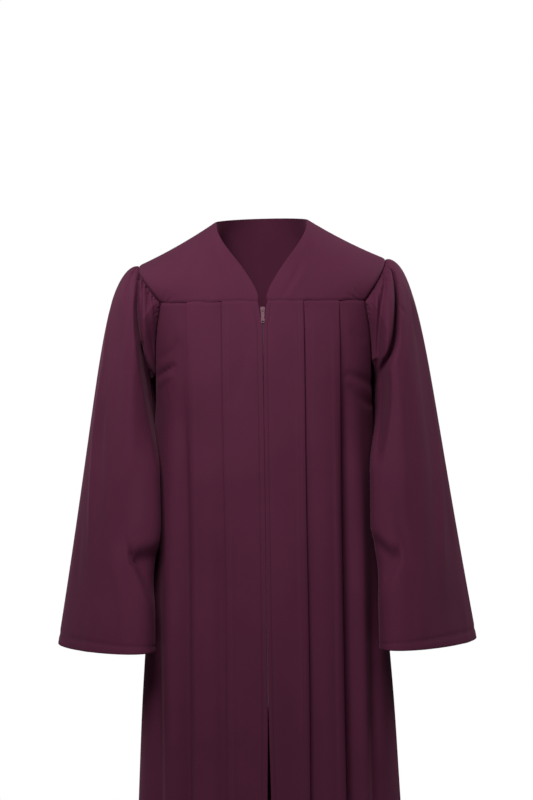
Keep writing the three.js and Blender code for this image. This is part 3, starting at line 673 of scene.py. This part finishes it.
def pocket_depth(x, drop, pocket):
    """How far the sleeve is drawn in above the cuff."""
    edge = through(pocket["edge"], 1, drop)
    top = through(pocket["top"], 1, x)
    inside = grown(edge - x, -0.5, pocket["sharp"]) * grown(drop - top, 0, pocket["soft"])
    return pocket["depth"] * inside * (1 - grown(drop, *pocket["close"]))


def clear_of_body(rows, gap):
    """The points of a sleeve moved out of the body's form, and this far from it."""
    drop = -rows[..., 2]
    half, square = along(FORM, "drop", "half", drop), along(FORM, "drop", "square", drop)
    front, back = along(FORM, "drop", "front", drop), along(FORM, "drop", "back", drop)
    depth = np.where(rows[..., 1] < 0, front, back)
    reach = (np.abs(rows[..., 0]) / (half + gap)) ** square + (np.abs(rows[..., 1]) / (depth + gap)) ** square
    out = np.where((reach < 1) & (drop > BODY_GAP_DROP), np.maximum(reach, 0.2) ** (-1 / square), 1)
    return rows * np.stack([out, out, np.ones_like(out)], axis=-1)


def facing_share(angles, start, full, fade, end):
    """How far each angle round a sleeve belongs to its front or to its back."""
    return (grown(angles, start, full) * (1 - grown(angles, fade, end)))[None, :]


def sleeve_shares():
    """Rows down a sleeve, as shares of its length: closest in the gathers and along the cuff's stitching."""
    head, upper = np.linspace(0, 0.1, 25, endpoint=False), np.linspace(0.1, 0.3, 27, endpoint=False)
    return np.concatenate([head, upper, np.linspace(0.3, 0.972, 57), np.linspace(0.975, 1, 9)])


def swung_in(rows, angles):
    """How far the sleeve's inner side swings in front of the body."""
    swing, drop = INNER_SWING, -rows[..., 2]
    while_swung = grown(drop, swing["from"], swing["full"]) * (1 - grown(drop, swing["fade"], swing["to"]))
    return swing["by"] * bell(angles[None, :] - swing["angle"], swing["spread"]) * while_swung


def sleeve_rows(side):
    """A sleeve on the wearer's left, but with its own side's folds: a smooth tube, then folds and gathers."""
    angles, s, look = sleeve_angles(), sleeve_shares(), SLEEVES[side]
    start, end = armhole_ring(angles), cuff_ring(angles)
    reach = {c: around(SLEEVE_LINES, c, angles) for c in SLEEVE_LINES[0] if c != "angle"}
    leave = start + np.stack([reach["out"], -reach["fore"], reach["up"]], axis=-1)
    arrive = end + np.stack([reach["cuff_out"], -reach["cuff_fore"], reach["cuff_up"]], axis=-1)
    w = s[:, None, None]
    rows = (1 - w) ** 3 * start + 3 * w * (1 - w) ** 2 * leave + 3 * w * w * (1 - w) * arrive + w**3 * end
    rows[..., 0] -= swung_in(rows, angles)
    x, drop = rows[..., 0], -rows[..., 2]
    front, back = facing_share(angles, *SLEEVE_FRONT), facing_share(angles, *SLEEVE_BACK)
    small = front * folds_depth(x, drop, look["edges"]) + back * folds_depth(x, drop, BACK_EDGE_FOLDS)
    roll = HEAD_ROLL["depth"] * bell(s, HEAD_ROLL["share"])
    small = small + gathers(angles, s, look["seed"]) + roll[:, None]
    above = (1 - s) * CUFF_DIP["length"]
    small = small + CUFF_DIP["depth"] * bell(above - CUFF_DIP["above"], CUFF_DIP["width"])[:, None]
    deep = folds_depth(x, drop, look["folds"]) + hollow_depth(x, drop, look["hollow"])
    pocket = pocket_depth(x, drop, look["pocket"])
    rows = moved_in(rows, small, -1, closed=True)
    rows[..., 0] += 0.25 * front * pocket
    rows[..., 1] += front * (deep + pocket) - back * folds_depth(x, drop, BACK_FOLDS)
    return clear_of_body(rows, BODY_GAP * grown(s, 0.0, 0.12)[:, None])


def settled(points):
    """A piece as it hangs on its wearer, whose right shoulder is a little lower than the left."""
    x, z = points[..., 0], points[..., 2]
    tilt = SHOULDER_TILT["slope"] * x * (1 - grown(-z, SHOULDER_TILT["from"], SHOULDER_TILT["to"]))
    wave = sum(high * np.sin(x / long + phase) for high, long, phase in SEAM_WAVES)
    seam = wave * bell(z + FRONT_YOKE["drop"], SEAM_WAVE_REACH) * (points[..., 1] < 0)
    return points + np.stack([0 * x, 0 * x, tilt + seam], axis=-1)


# ---- Making pieces ----
def cloth_piece(name, points, thick, body, node, material, closed=False, outward=1):
    """A wall of cloth round a grid of points in millimetres. Its UV map is its width and length in metres."""
    m, n = points.shape[:2]
    wide = n + 1 if closed else n
    grid = np.concatenate([points, points[:, :1]], axis=1) if closed else points
    u = np.concatenate([[0], np.cumsum(np.linalg.norm(np.diff(grid, axis=1), axis=2).mean(axis=0))]) * MM
    v = -np.concatenate([[0], np.cumsum(np.linalg.norm(np.diff(points, axis=0), axis=2).mean(axis=1))]) * MM
    faces, corners = [], []
    for i in range(m - 1):
        for j in range(wide - 1):
            k = (j + 1) % n
            ring = [(i, j, j), (i + 1, j, j), (i + 1, k, j + 1), (i, k, j + 1)]
            if outward < 0:
                ring.reverse()
            faces.append([a * n + b for a, b, _ in ring])
            corners.extend((u[c], v[a]) for a, _, c in ring)
    mesh = bpy.data.meshes.new(name)
    mesh.from_pydata((points.reshape(-1, 3) * MM).tolist(), [], faces)
    mesh.uv_layers.new(name="cloth").data.foreach_set("uv", np.array(corners, float).ravel())
    mesh.materials.append(material)
    piece = bpy.data.objects.new(name, mesh)
    bpy.context.scene.collection.objects.link(piece)
    select_only(piece)
    wall = piece.modifiers.new("wall", "SOLIDIFY")
    wall.thickness, wall.offset = thick, 0
    bpy.ops.object.modifier_apply(modifier=wall.name)
    bpy.ops.object.shade_smooth_by_angle(angle=math.radians(50))
    attach(piece, body, node)
    return piece


def attach(piece, body, node):
    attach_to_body(piece, body)
    if node:
        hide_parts(node)


def select_only(piece):
    bpy.ops.object.select_all(action="DESELECT")
    piece.select_set(True)
    bpy.context.view_layer.objects.active = piece


# ---- Materials ----
def new_material(name):
    material = bpy.data.materials.new(name)
    material.use_nodes = True
    return material, material.node_tree.nodes, material.node_tree.links.new


def noise(nodes, link, place, scale, detail=2):
    """A noise pattern that stays with its piece."""
    pattern = nodes.new("ShaderNodeTexNoise")
    pattern.inputs["Scale"].default_value = scale
    pattern.inputs["Detail"].default_value = detail
    link(place.outputs["Object"], pattern.inputs["Vector"])
    return pattern.outputs["Fac"]


def toned(nodes, link, amount, colour, spread, ends=(0, 1)):
    """The shader's colour, from darker to lighter by this spread as the amount goes between its ends."""
    tone = nodes.new("ShaderNodeValToRGB")
    for element, position, share in zip(tone.color_ramp.elements, ends, (1 - spread, 1 + spread)):
        element.position = position
        element.color = (*[min(c * share, 1) for c in colour[:3]], 1)
    link(amount, tone.inputs["Fac"])
    link(tone.outputs["Color"], nodes["Principled BSDF"].inputs["Base Color"])


def bumped(nodes, link, height, strength, distance):
    bump = nodes.new("ShaderNodeBump")
    bump.inputs["Strength"].default_value = strength
    bump.inputs["Distance"].default_value = distance
    link(height, bump.inputs["Height"])
    link(bump.outputs["Normal"], nodes["Principled BSDF"].inputs["Normal"])


def threads(nodes, link, place, turn):
    """The threads that run one way through the cloth."""
    thread = nodes.new("ShaderNodeTexWave")
    thread.inputs["Scale"].default_value = 1 / (2 * THREAD) / math.pi
    thread.inputs["Distortion"].default_value = 0.6
    turned = nodes.new("ShaderNodeMapping")
    turned.inputs["Rotation"].default_value[2] = turn
    link(place.outputs["UV"], turned.inputs["Vector"])
    link(turned.outputs["Vector"], thread.inputs["Vector"])
    return thread.outputs["Fac"]


def joined(nodes, link, operation, *values):
    """The result of a sum on sockets and numbers."""
    node = nodes.new("ShaderNodeMath")
    node.operation = operation
    for socket, value in zip(node.inputs, values):
        if isinstance(value, float):
            socket.default_value = value
        else:
            link(value, socket)
    return node.outputs[0]


def gown_cloth(colour):
    """Matte polyester: a fine plain weave, faintly uneven colour and a soft bloom at a grazing angle."""
    material, nodes, link = new_material("gown_poplin")
    shader = nodes["Principled BSDF"]
    shader.inputs["Roughness"].default_value = 0.78
    shader.inputs["Specular IOR Level"].default_value = 0.05
    shader.inputs["Sheen Weight"].default_value = 0.10
    shader.inputs["Sheen Roughness"].default_value = 0.35
    shader.inputs["Sheen Tint"].default_value = (0.95, 0.42, 0.60, 1)
    place = nodes.new("ShaderNodeTexCoord")
    cloud, fleck = noise(nodes, link, place, 9, 4), noise(nodes, link, place, 900)
    both = joined(nodes, link, "MULTIPLY_ADD", fleck, 0.5, cloud)
    toned(nodes, link, both, colour, 0.1, ends=(0.45, 1.05))
    warp, weft = (threads(nodes, link, place, turn) for turn in (0, math.pi / 2))
    bumped(nodes, link, joined(nodes, link, "MAXIMUM", warp, weft), 0.25, 0.0001)
    return material


def plain_material(name, colour, roughness, metallic=0.0, coat=0.0, grain=400, depth=0.00005):
    """A moulded, plated or spun finish: one colour with a little unevenness in tone and surface."""
    material, nodes, link = new_material(name)
    shader = nodes["Principled BSDF"]
    shader.inputs["Roughness"].default_value = roughness
    shader.inputs["Metallic"].default_value = metallic
    shader.inputs["Coat Weight"].default_value = coat
    grains = noise(nodes, link, nodes.new("ShaderNodeTexCoord"), grain)
    toned(nodes, link, grains, colour, 0.2)
    bumped(nodes, link, grains, 0.3, depth)
    return material


# ---- The pieces ----
def front_panel(side):
    drops = panel_drops(FRONT_YOKE["drop"] + SEAM, creased=48)
    rows = panel_rows(drops, -1, side, front_start, FRONT_PLEATS, FRONT_FLUTES, FRONT_CREASES, FRONT_YOKE)
    return settled(with_allowance(hemmed(under_yoke(rows, -1), side, deep=BODY_HEM)))


def back_panel():
    drops = panel_drops(BACK_YOKE["drop"] + SEAM)
    right = panel_rows(drops, 1, -1, back_start, BACK_PLEATS, BACK_FLUTES, [], BACK_YOKE)
    left = panel_rows(drops, 1, 1, back_start, BACK_PLEATS, BACK_FLUTES, [], BACK_YOKE)
    rows = under_yoke(np.concatenate([right[:, :0:-1], left], axis=1), 1)
    rows = hemmed(rows, -1, deep=BODY_HEM)
    return settled(with_allowance(with_allowance(rows), 0))


def to_armhole(points, column=-1):
    """Unit vectors from an edge of a grid into the armhole, and below the underarm into the gown."""
    edge = points[:, column]
    into = np.array([0, 0, -(ARMHOLE["drop"] + SHOULDER_HALF / 3) / 2]) - edge * np.array([0, 1, 1])
    into[:, 0] = 0
    into /= np.linalg.norm(into, axis=1, keepdims=True)
    share = grown(-edge[:, 2], ARMHOLE["drop"] - 6, ARMHOLE["drop"] + 2)[:, None]
    side = np.stack([-np.sign(edge[:, 0]), 0 * edge[:, 0], 0 * edge[:, 0]], axis=1)
    return into * (1 - share) + side * share


def with_allowance(points, column=-1):
    """A grid with a seam allowance turned in at its armhole edge."""
    edge, into = points[:, column], to_armhole(points, column)
    extra = [edge + into * k for k in ALLOWANCE_ROWS]
    if column < 0:
        return np.concatenate([points, np.stack(extra, axis=1)], axis=1)
    return np.concatenate([np.stack(extra[::-1], axis=1), points], axis=1)


def under_yoke(rows, facing):
    """A panel with its top carried up under the yoke."""
    top = rows[0]
    extra = []
    for up, back in ((9, 5.4), (5, 3.4), (1.5, 1.9), (0.3, 1.2)):
        row = top + np.array([0, -facing * back, up])
        row[:, 0] *= 1 - back * 0.0035
        extra.append(row)
    return np.concatenate([np.array(extra), rows])


def edge_dip(points):
    """A roll inward over the last few millimetres before a grid's armhole edge."""
    steps = np.linalg.norm(np.diff(points, axis=1), axis=2)
    away = np.concatenate([np.cumsum(steps[:, ::-1], axis=1)[:, ::-1], np.zeros((len(points), 1))], axis=1)
    return bell(away, 2.4)


def front_yoke(side):
    t = np.concatenate([np.linspace(0, 0.93, 46), np.linspace(0.945, 1, 9)])
    u = np.concatenate([np.linspace(0, 0.95, 74), np.linspace(0.965, 1, 6)])
    rows = front_yoke_point(u[None, :], t[:, None])
    rows = moved_in(rows, edge_dip(rows), 1)
    rows[..., 0] *= side
    depth = crease_inset(rows[..., 0], -rows[..., 2], YOKE_CREASES)
    depth = depth + seam_dip(FRONT_YOKE["drop"] + rows[..., 2])
    rows = moved_in(rows, depth, side)
    rows = turned_side(rows, side, turn=NECK_TURN, deep=NECK_HEM)
    rows = with_allowance(rows)
    tuck = [rows[0] + np.array([0, k, -1.6]) for k in (7, 3, 1.2)]
    return settled(np.concatenate([np.array(tuck), rows]))


def back_yoke():
    t = np.concatenate([np.linspace(0, 0.93, 40), np.linspace(0.945, 1, 9)])
    u = np.concatenate([np.linspace(0, 0.95, 70), np.linspace(0.965, 1, 6)])
    half = back_yoke_point(u[None, :], t[:, None])
    half = with_allowance(moved_in(half, edge_dip(half), -1))
    other = half[:, :0:-1] * np.array([-1, 1, 1])
    rows = np.concatenate([other, half], axis=1)
    return settled(moved_in(rows, seam_dip(BACK_YOKE["drop"] + rows[..., 2]), -1))


def sleeve(side):
    rows = sleeve_rows(side)
    rows = hemmed(rows, -1, closed=True, deep=CUFF_HEM)
    ring = rows[0]
    centre = ring.mean(axis=0) * np.array([0, 1, 1])
    into = centre - ring * np.array([0, 1, 1])
    into /= np.linalg.norm(into, axis=1, keepdims=True)
    flap = [ring + into * k - np.array([over, 0, 0]) for k, over in ((8, 1.1), (3, 0.9), (0.8, 0.3))]
    return settled(np.concatenate([np.array(flap), rows]) * np.array([side, 1, 1]))


def stitching(name, lines, thread):
    """Rows of small stitches, one along each line of points and normals in millimetres."""
    points, faces = [], []
    for line, normal in lines:
        length = np.concatenate([[0], np.cumsum(np.linalg.norm(np.diff(line, axis=0), axis=1))])
        for start in np.arange(1.0, length[-1] - 3, STITCH["pitch"]):
            ends = np.array([start, start + STITCH["long"]])
            at = np.stack([np.interp(ends, length, line[:, k]) for k in range(3)], axis=-1)
            up = np.stack([np.interp(start, length, normal[:, k]) for k in range(3)])
            onward = at[1] - at[0]
            across = np.cross(up, onward)
            across *= STITCH["half"] / max(np.linalg.norm(across), 1e-6)
            base = len(points)
            for place in at:
                for lift, wide in ((-0.1, -1), (STITCH["high"], -0.6), (STITCH["high"], 0.6), (-0.1, 1)):
                    points.append(place + up * (lift + STITCH["lift"]) + across * wide)
            for k in range(4):
                faces.append([base + k, base + (k + 1) % 4, base + 4 + (k + 1) % 4, base + 4 + k])
            faces.extend([[base + 3, base + 2, base + 1, base], [base + 4, base + 5, base + 6, base + 7]])
    mesh = bpy.data.meshes.new(name)
    mesh.from_pydata((np.array(points) * MM).tolist(), [], faces)
    mesh.materials.append(thread)
    piece = bpy.data.objects.new(name, mesh)
    bpy.context.scene.collection.objects.link(piece)
    select_only(piece)
    bpy.ops.object.mode_set(mode="EDIT")
    bpy.ops.mesh.select_all(action="SELECT")
    bpy.ops.mesh.normals_make_consistent(inside=False)
    bpy.ops.object.mode_set(mode="OBJECT")
    attach(piece, "gown", None)
    return piece


def column_line(rows, column, outward, first=4, last=-9):
    return rows[first:last, column], normals(rows, outward)[first:last, column]


def row_line(rows, row, outward, closed=False, first=0, last=None):
    line, normal = rows[row, first:last], normals(rows, outward, closed)[row, first:last]
    if closed:
        line, normal = np.concatenate([line, line[:1]]), np.concatenate([normal, normal[:1]])
    return line, normal


class GOWN_PG_sizes(bpy.types.PropertyGroup):
    cloth: bpy.props.FloatProperty(
        name="Cloth", description="Thickness of the gown's cloth", default=0.0009, unit="LENGTH"
    )
    tooth: bpy.props.FloatProperty(
        name="Zip tooth", description="Thickness of one turn of the zip's coil", default=0.0009, unit="LENGTH"
    )


class GOWN_PG_colours(bpy.types.PropertyGroup):
    cloth: bpy.props.FloatVectorProperty(
        name="Cloth", description="Colour of the gown's cloth", subtype="COLOR",
        default=(0.100, 0.0217, 0.0495),
    )
    thread: bpy.props.FloatVectorProperty(
        name="Thread", description="Colour of its sewing thread", subtype="COLOR",
        default=(0.078, 0.017, 0.038),
    )
    coil: bpy.props.FloatVectorProperty(
        name="Zip", description="Colour of the zip's tapes and coil", subtype="COLOR",
        default=(0.024, 0.007, 0.013),
    )
    metal: bpy.props.FloatVectorProperty(
        name="Slider", description="Colour of the painted slider and its tab", subtype="COLOR",
        default=(0.085, 0.022, 0.039),
    )


def gown():
    return bpy.context.scene.gown_sizes, bpy.context.scene.gown_colours


def cloth_material():
    return bpy.data.materials.get("gown_poplin") or gown_cloth(tuple(gown()[1].cloth))


def sew(name, rows, node, closed=False, outward=1):
    """A piece of the gown's cloth, as thick as the cloth in the gown's sizes."""
    thick = gown()[0].cloth
    piece = cloth_piece(name, rows, thick, "gown", node, cloth_material(), closed, outward)
    return piece


class GOWN_OT_yokes(bpy.types.Operator):
    """Make the two front yokes and the back yoke"""

    bl_idname = "gown.yokes"
    bl_label = "Yokes"

    def execute(self, context):
        sew("yoke_front_left_cloth", front_yoke(1), "yoke_front_left")
        sew("yoke_front_right_cloth", front_yoke(-1), "yoke_front_right", outward=-1)
        sew("yoke_back_cloth", back_yoke(), "yoke_back", outward=-1)
        return {"FINISHED"}


class GOWN_OT_fronts(bpy.types.Operator):
    """Make the two pleated front panels"""

    bl_idname = "gown.fronts"
    bl_label = "Front panels"

    def execute(self, context):
        sew("front_left_cloth", front_panel(1), "front_left")
        sew("front_right_cloth", front_panel(-1), "front_right", outward=-1)
        return {"FINISHED"}


class GOWN_OT_back(bpy.types.Operator):
    """Make the pleated back panel"""

    bl_idname = "gown.back"
    bl_label = "Back panel"

    def execute(self, context):
        sew("back_cloth", back_panel(), "back", outward=-1)
        return {"FINISHED"}


class GOWN_OT_sleeves(bpy.types.Operator):
    """Make the two bell sleeves"""

    bl_idname = "gown.sleeves"
    bl_label = "Sleeves"

    def execute(self, context):
        sew("sleeve_left_cloth", sleeve(1), "sleeve_left", closed=True, outward=-1)
        sew("sleeve_right_cloth", sleeve(-1), "sleeve_right", closed=True)
        return {"FINISHED"}


class GOWN_OT_stitching(bpy.types.Operator):
    """Sew the front edges, the inner pleats and the hems"""

    bl_idname = "gown.stitching"
    bl_label = "Stitching"

    def execute(self, context):
        thread = plain_material("gown_thread", gown()[1].thread, 0.7, grain=900)
        for side, word in ((1, "left"), (-1, "right")):
            rows = front_panel(side)
            lines = [column_line(rows, k, side) for k in (FRONT_STITCH_COLUMN, PLEAT_STITCH_COLUMN)]
            lines.append(row_line(rows, HEM_STITCH_ROW, side, first=10, last=-4))
            stitching(f"front_{word}_stitches", lines, thread)
            line = row_line(sleeve(side), CUFF_STITCH_ROW, -side, closed=True)
            stitching(f"sleeve_{word}_stitches", [line], thread)
        line = row_line(back_panel(), HEM_STITCH_ROW, -1, first=4, last=-4)
        stitching("back_stitches", [line], thread)
        return {"FINISHED"}


class GOWN_OT_zip(bpy.types.Operator):
    """Finish the zip: its woven tapes, the turns of its coil, the painted slider, tab and stop"""

    bl_idname = "gown.zip"
    bl_label = "Zip"

    def execute(self, context):
        sizes, colours = gown()
        tape = plain_material("zip_tape_twill", colours.coil, 0.85, grain=1500, depth=0.0001)
        coil = plain_material("zip_nylon", colours.coil, 0.42, grain=300)
        paint = plain_material(
            "zip_paint", colours.metal, 0.36, metallic=0.35, coat=0.3, grain=500, depth=0.00002
        )
        looks = {"zip_tape_left": tape, "zip_tape_right": tape, "zip_chain": coil, "zip_slider": paint}
        looks.update({"zip_pull": paint, "zip_stop": paint})
        for node, look in looks.items():
            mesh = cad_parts[node].data
            mesh.materials.clear()
            mesh.materials.append(look)
        self.coil_turns(sizes.tooth, coil)
        return {"FINISHED"}

    def coil_turns(self, thick, material):
        """Lay a turn of the coil across the front of the chain at each pitch, from the stop to the slider."""
        low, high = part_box("zip_chain")
        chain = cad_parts["zip_chain"]
        places = np.array([chain.matrix_world @ v.co for v in chain.data.vertices])
        heights = np.unique(places[:, 2].round(5))
        fronts = [places[abs(places[:, 2] - h) < 1e-4][:, 1].min() for h in heights]
        mesh = bpy.data.meshes.new("zip_coil_turns")
        mesh.materials.append(material)
        turns = bpy.data.objects.new(mesh.name, mesh)
        bpy.context.scene.collection.objects.link(turns)
        select_only(turns)
        bpy.ops.object.mode_set(mode="EDIT")
        for z in np.arange(low[2] + COIL["first"], high[2] - COIL["last"], COIL["pitch"]):
            bpy.ops.mesh.primitive_cylinder_add(
                vertices=6, radius=thick / 2, depth=high[0] - low[0] - COIL["short"],
                location=(0, float(np.interp(z, heights, fronts)), float(z)), rotation=(0, math.pi / 2, 0),
            )
        bpy.ops.object.mode_set(mode="OBJECT")
        attach(turns, "gown", None)


class GOWN_OT_stage(bpy.types.Operator):
    """Set the floor, the soft lights and the camera"""

    bl_idname = "gown.stage"
    bl_label = "Stage"

    def execute(self, context):
        bpy.ops.object.select_all(action="DESELECT")
        bpy.ops.mesh.primitive_circle_add(vertices=96, radius=2.7, fill_type="NGON", location=(0, 0, -1.55))
        floor = context.object
        floor.name = "floor"
        floor.data.materials.append(plain_material("pale_floor", (0.45, 0.45, 0.45), 0.6, grain=3))
        for name, place, size, power in (
            ("key", (-0.3, -1.3, 0.66), 0.7, 22),
            ("fill", (1.1, -1.9, 0.7), 1.0, 2),
            ("edge_left", (-1.7, 0.6, 0.8), 0.9, 16),
            ("edge_right", (1.7, 0.6, 0.8), 0.9, 24),
        ):
            soft_light(name, place, size, power)
        backdrop_world()
        level_camera()
        return {"FINISHED"}


def soft_light(name, place, size, power):
    lamp = bpy.data.lights.new(name, "AREA")
    lamp.shape, lamp.size, lamp.energy = "SQUARE", size, power
    light = bpy.data.objects.new(name, lamp)
    light.location = place
    aim = Vector((0, 0, -0.45)) - Vector(place)
    light.rotation_euler = aim.to_track_quat("-Z", "Y").to_euler()
    bpy.context.scene.collection.objects.link(light)


def backdrop_world():
    world = bpy.data.worlds.new("studio")
    world.use_nodes = True
    nodes, link = world.node_tree.nodes, world.node_tree.links.new
    seen = nodes["Background"]
    seen.inputs["Color"].default_value = (1, 1, 1, 1)
    seen.inputs["Strength"].default_value = 1.0
    felt = nodes.new("ShaderNodeBackground")
    felt.inputs["Color"].default_value = (1, 1, 1, 1)
    felt.inputs["Strength"].default_value = 0.055
    path = nodes.new("ShaderNodeLightPath")
    mix = nodes.new("ShaderNodeMixShader")
    link(path.outputs["Is Camera Ray"], mix.inputs["Fac"])
    link(felt.outputs["Background"], mix.inputs[1])
    link(seen.outputs["Background"], mix.inputs[2])
    link(mix.outputs["Shader"], nodes["World Output"].inputs["Surface"])
    bpy.context.scene.world = world
    bpy.context.scene.view_settings.view_transform = "Standard"


def level_camera():
    data = bpy.data.cameras.new("camera")
    data.lens, data.sensor_width = 90, 36
    camera = bpy.data.objects.new("camera", data)
    camera.location = (0.004, -3.2, -0.286)
    level = Vector((0, 1, 0)).to_track_quat("-Z", "Z")
    roll = Matrix.Rotation(math.radians(0.8), 4, "Y")
    camera.rotation_euler = (roll @ level.to_matrix().to_4x4()).to_euler()
    bpy.context.scene.collection.objects.link(camera)
    bpy.context.scene.camera = camera


class GOWN_PT_parts(bpy.types.Panel):
    """The gown's sizes, colours and pieces"""

    bl_idname = "GOWN_PT_parts"
    bl_label = "Graduation gown"
    bl_space_type = "VIEW_3D"
    bl_region_type = "UI"
    bl_category = "Gown"

    def draw(self, context):
        for group in gown():
            for name in group.bl_rna.properties.keys():
                if name not in ("rna_type", "name"):
                    self.layout.prop(group, name)
        for part in PARTS:
            self.layout.operator(part.bl_idname)


PARTS = (
    GOWN_OT_yokes, GOWN_OT_fronts, GOWN_OT_back, GOWN_OT_sleeves, GOWN_OT_stitching,
    GOWN_OT_zip, GOWN_OT_stage,
)
CLASSES = (GOWN_PG_sizes, GOWN_PG_colours, *PARTS, GOWN_PT_parts)


def register():
    for c in CLASSES:
        bpy.utils.register_class(c)
    bpy.types.Scene.gown_sizes = bpy.props.PointerProperty(type=GOWN_PG_sizes)
    bpy.types.Scene.gown_colours = bpy.props.PointerProperty(type=GOWN_PG_colours)


def unregister():
    del bpy.types.Scene.gown_colours
    del bpy.types.Scene.gown_sizes
    for c in reversed(CLASSES):
        bpy.utils.unregister_class(c)


def main():
    register()
    bpy.ops.gown.yokes()
    bpy.ops.gown.fronts()
    bpy.ops.gown.back()
    bpy.ops.gown.sleeves()
    bpy.ops.gown.stitching()
    bpy.ops.gown.zip()
    bpy.ops.gown.stage()


if __name__ == "__main__":
    main()
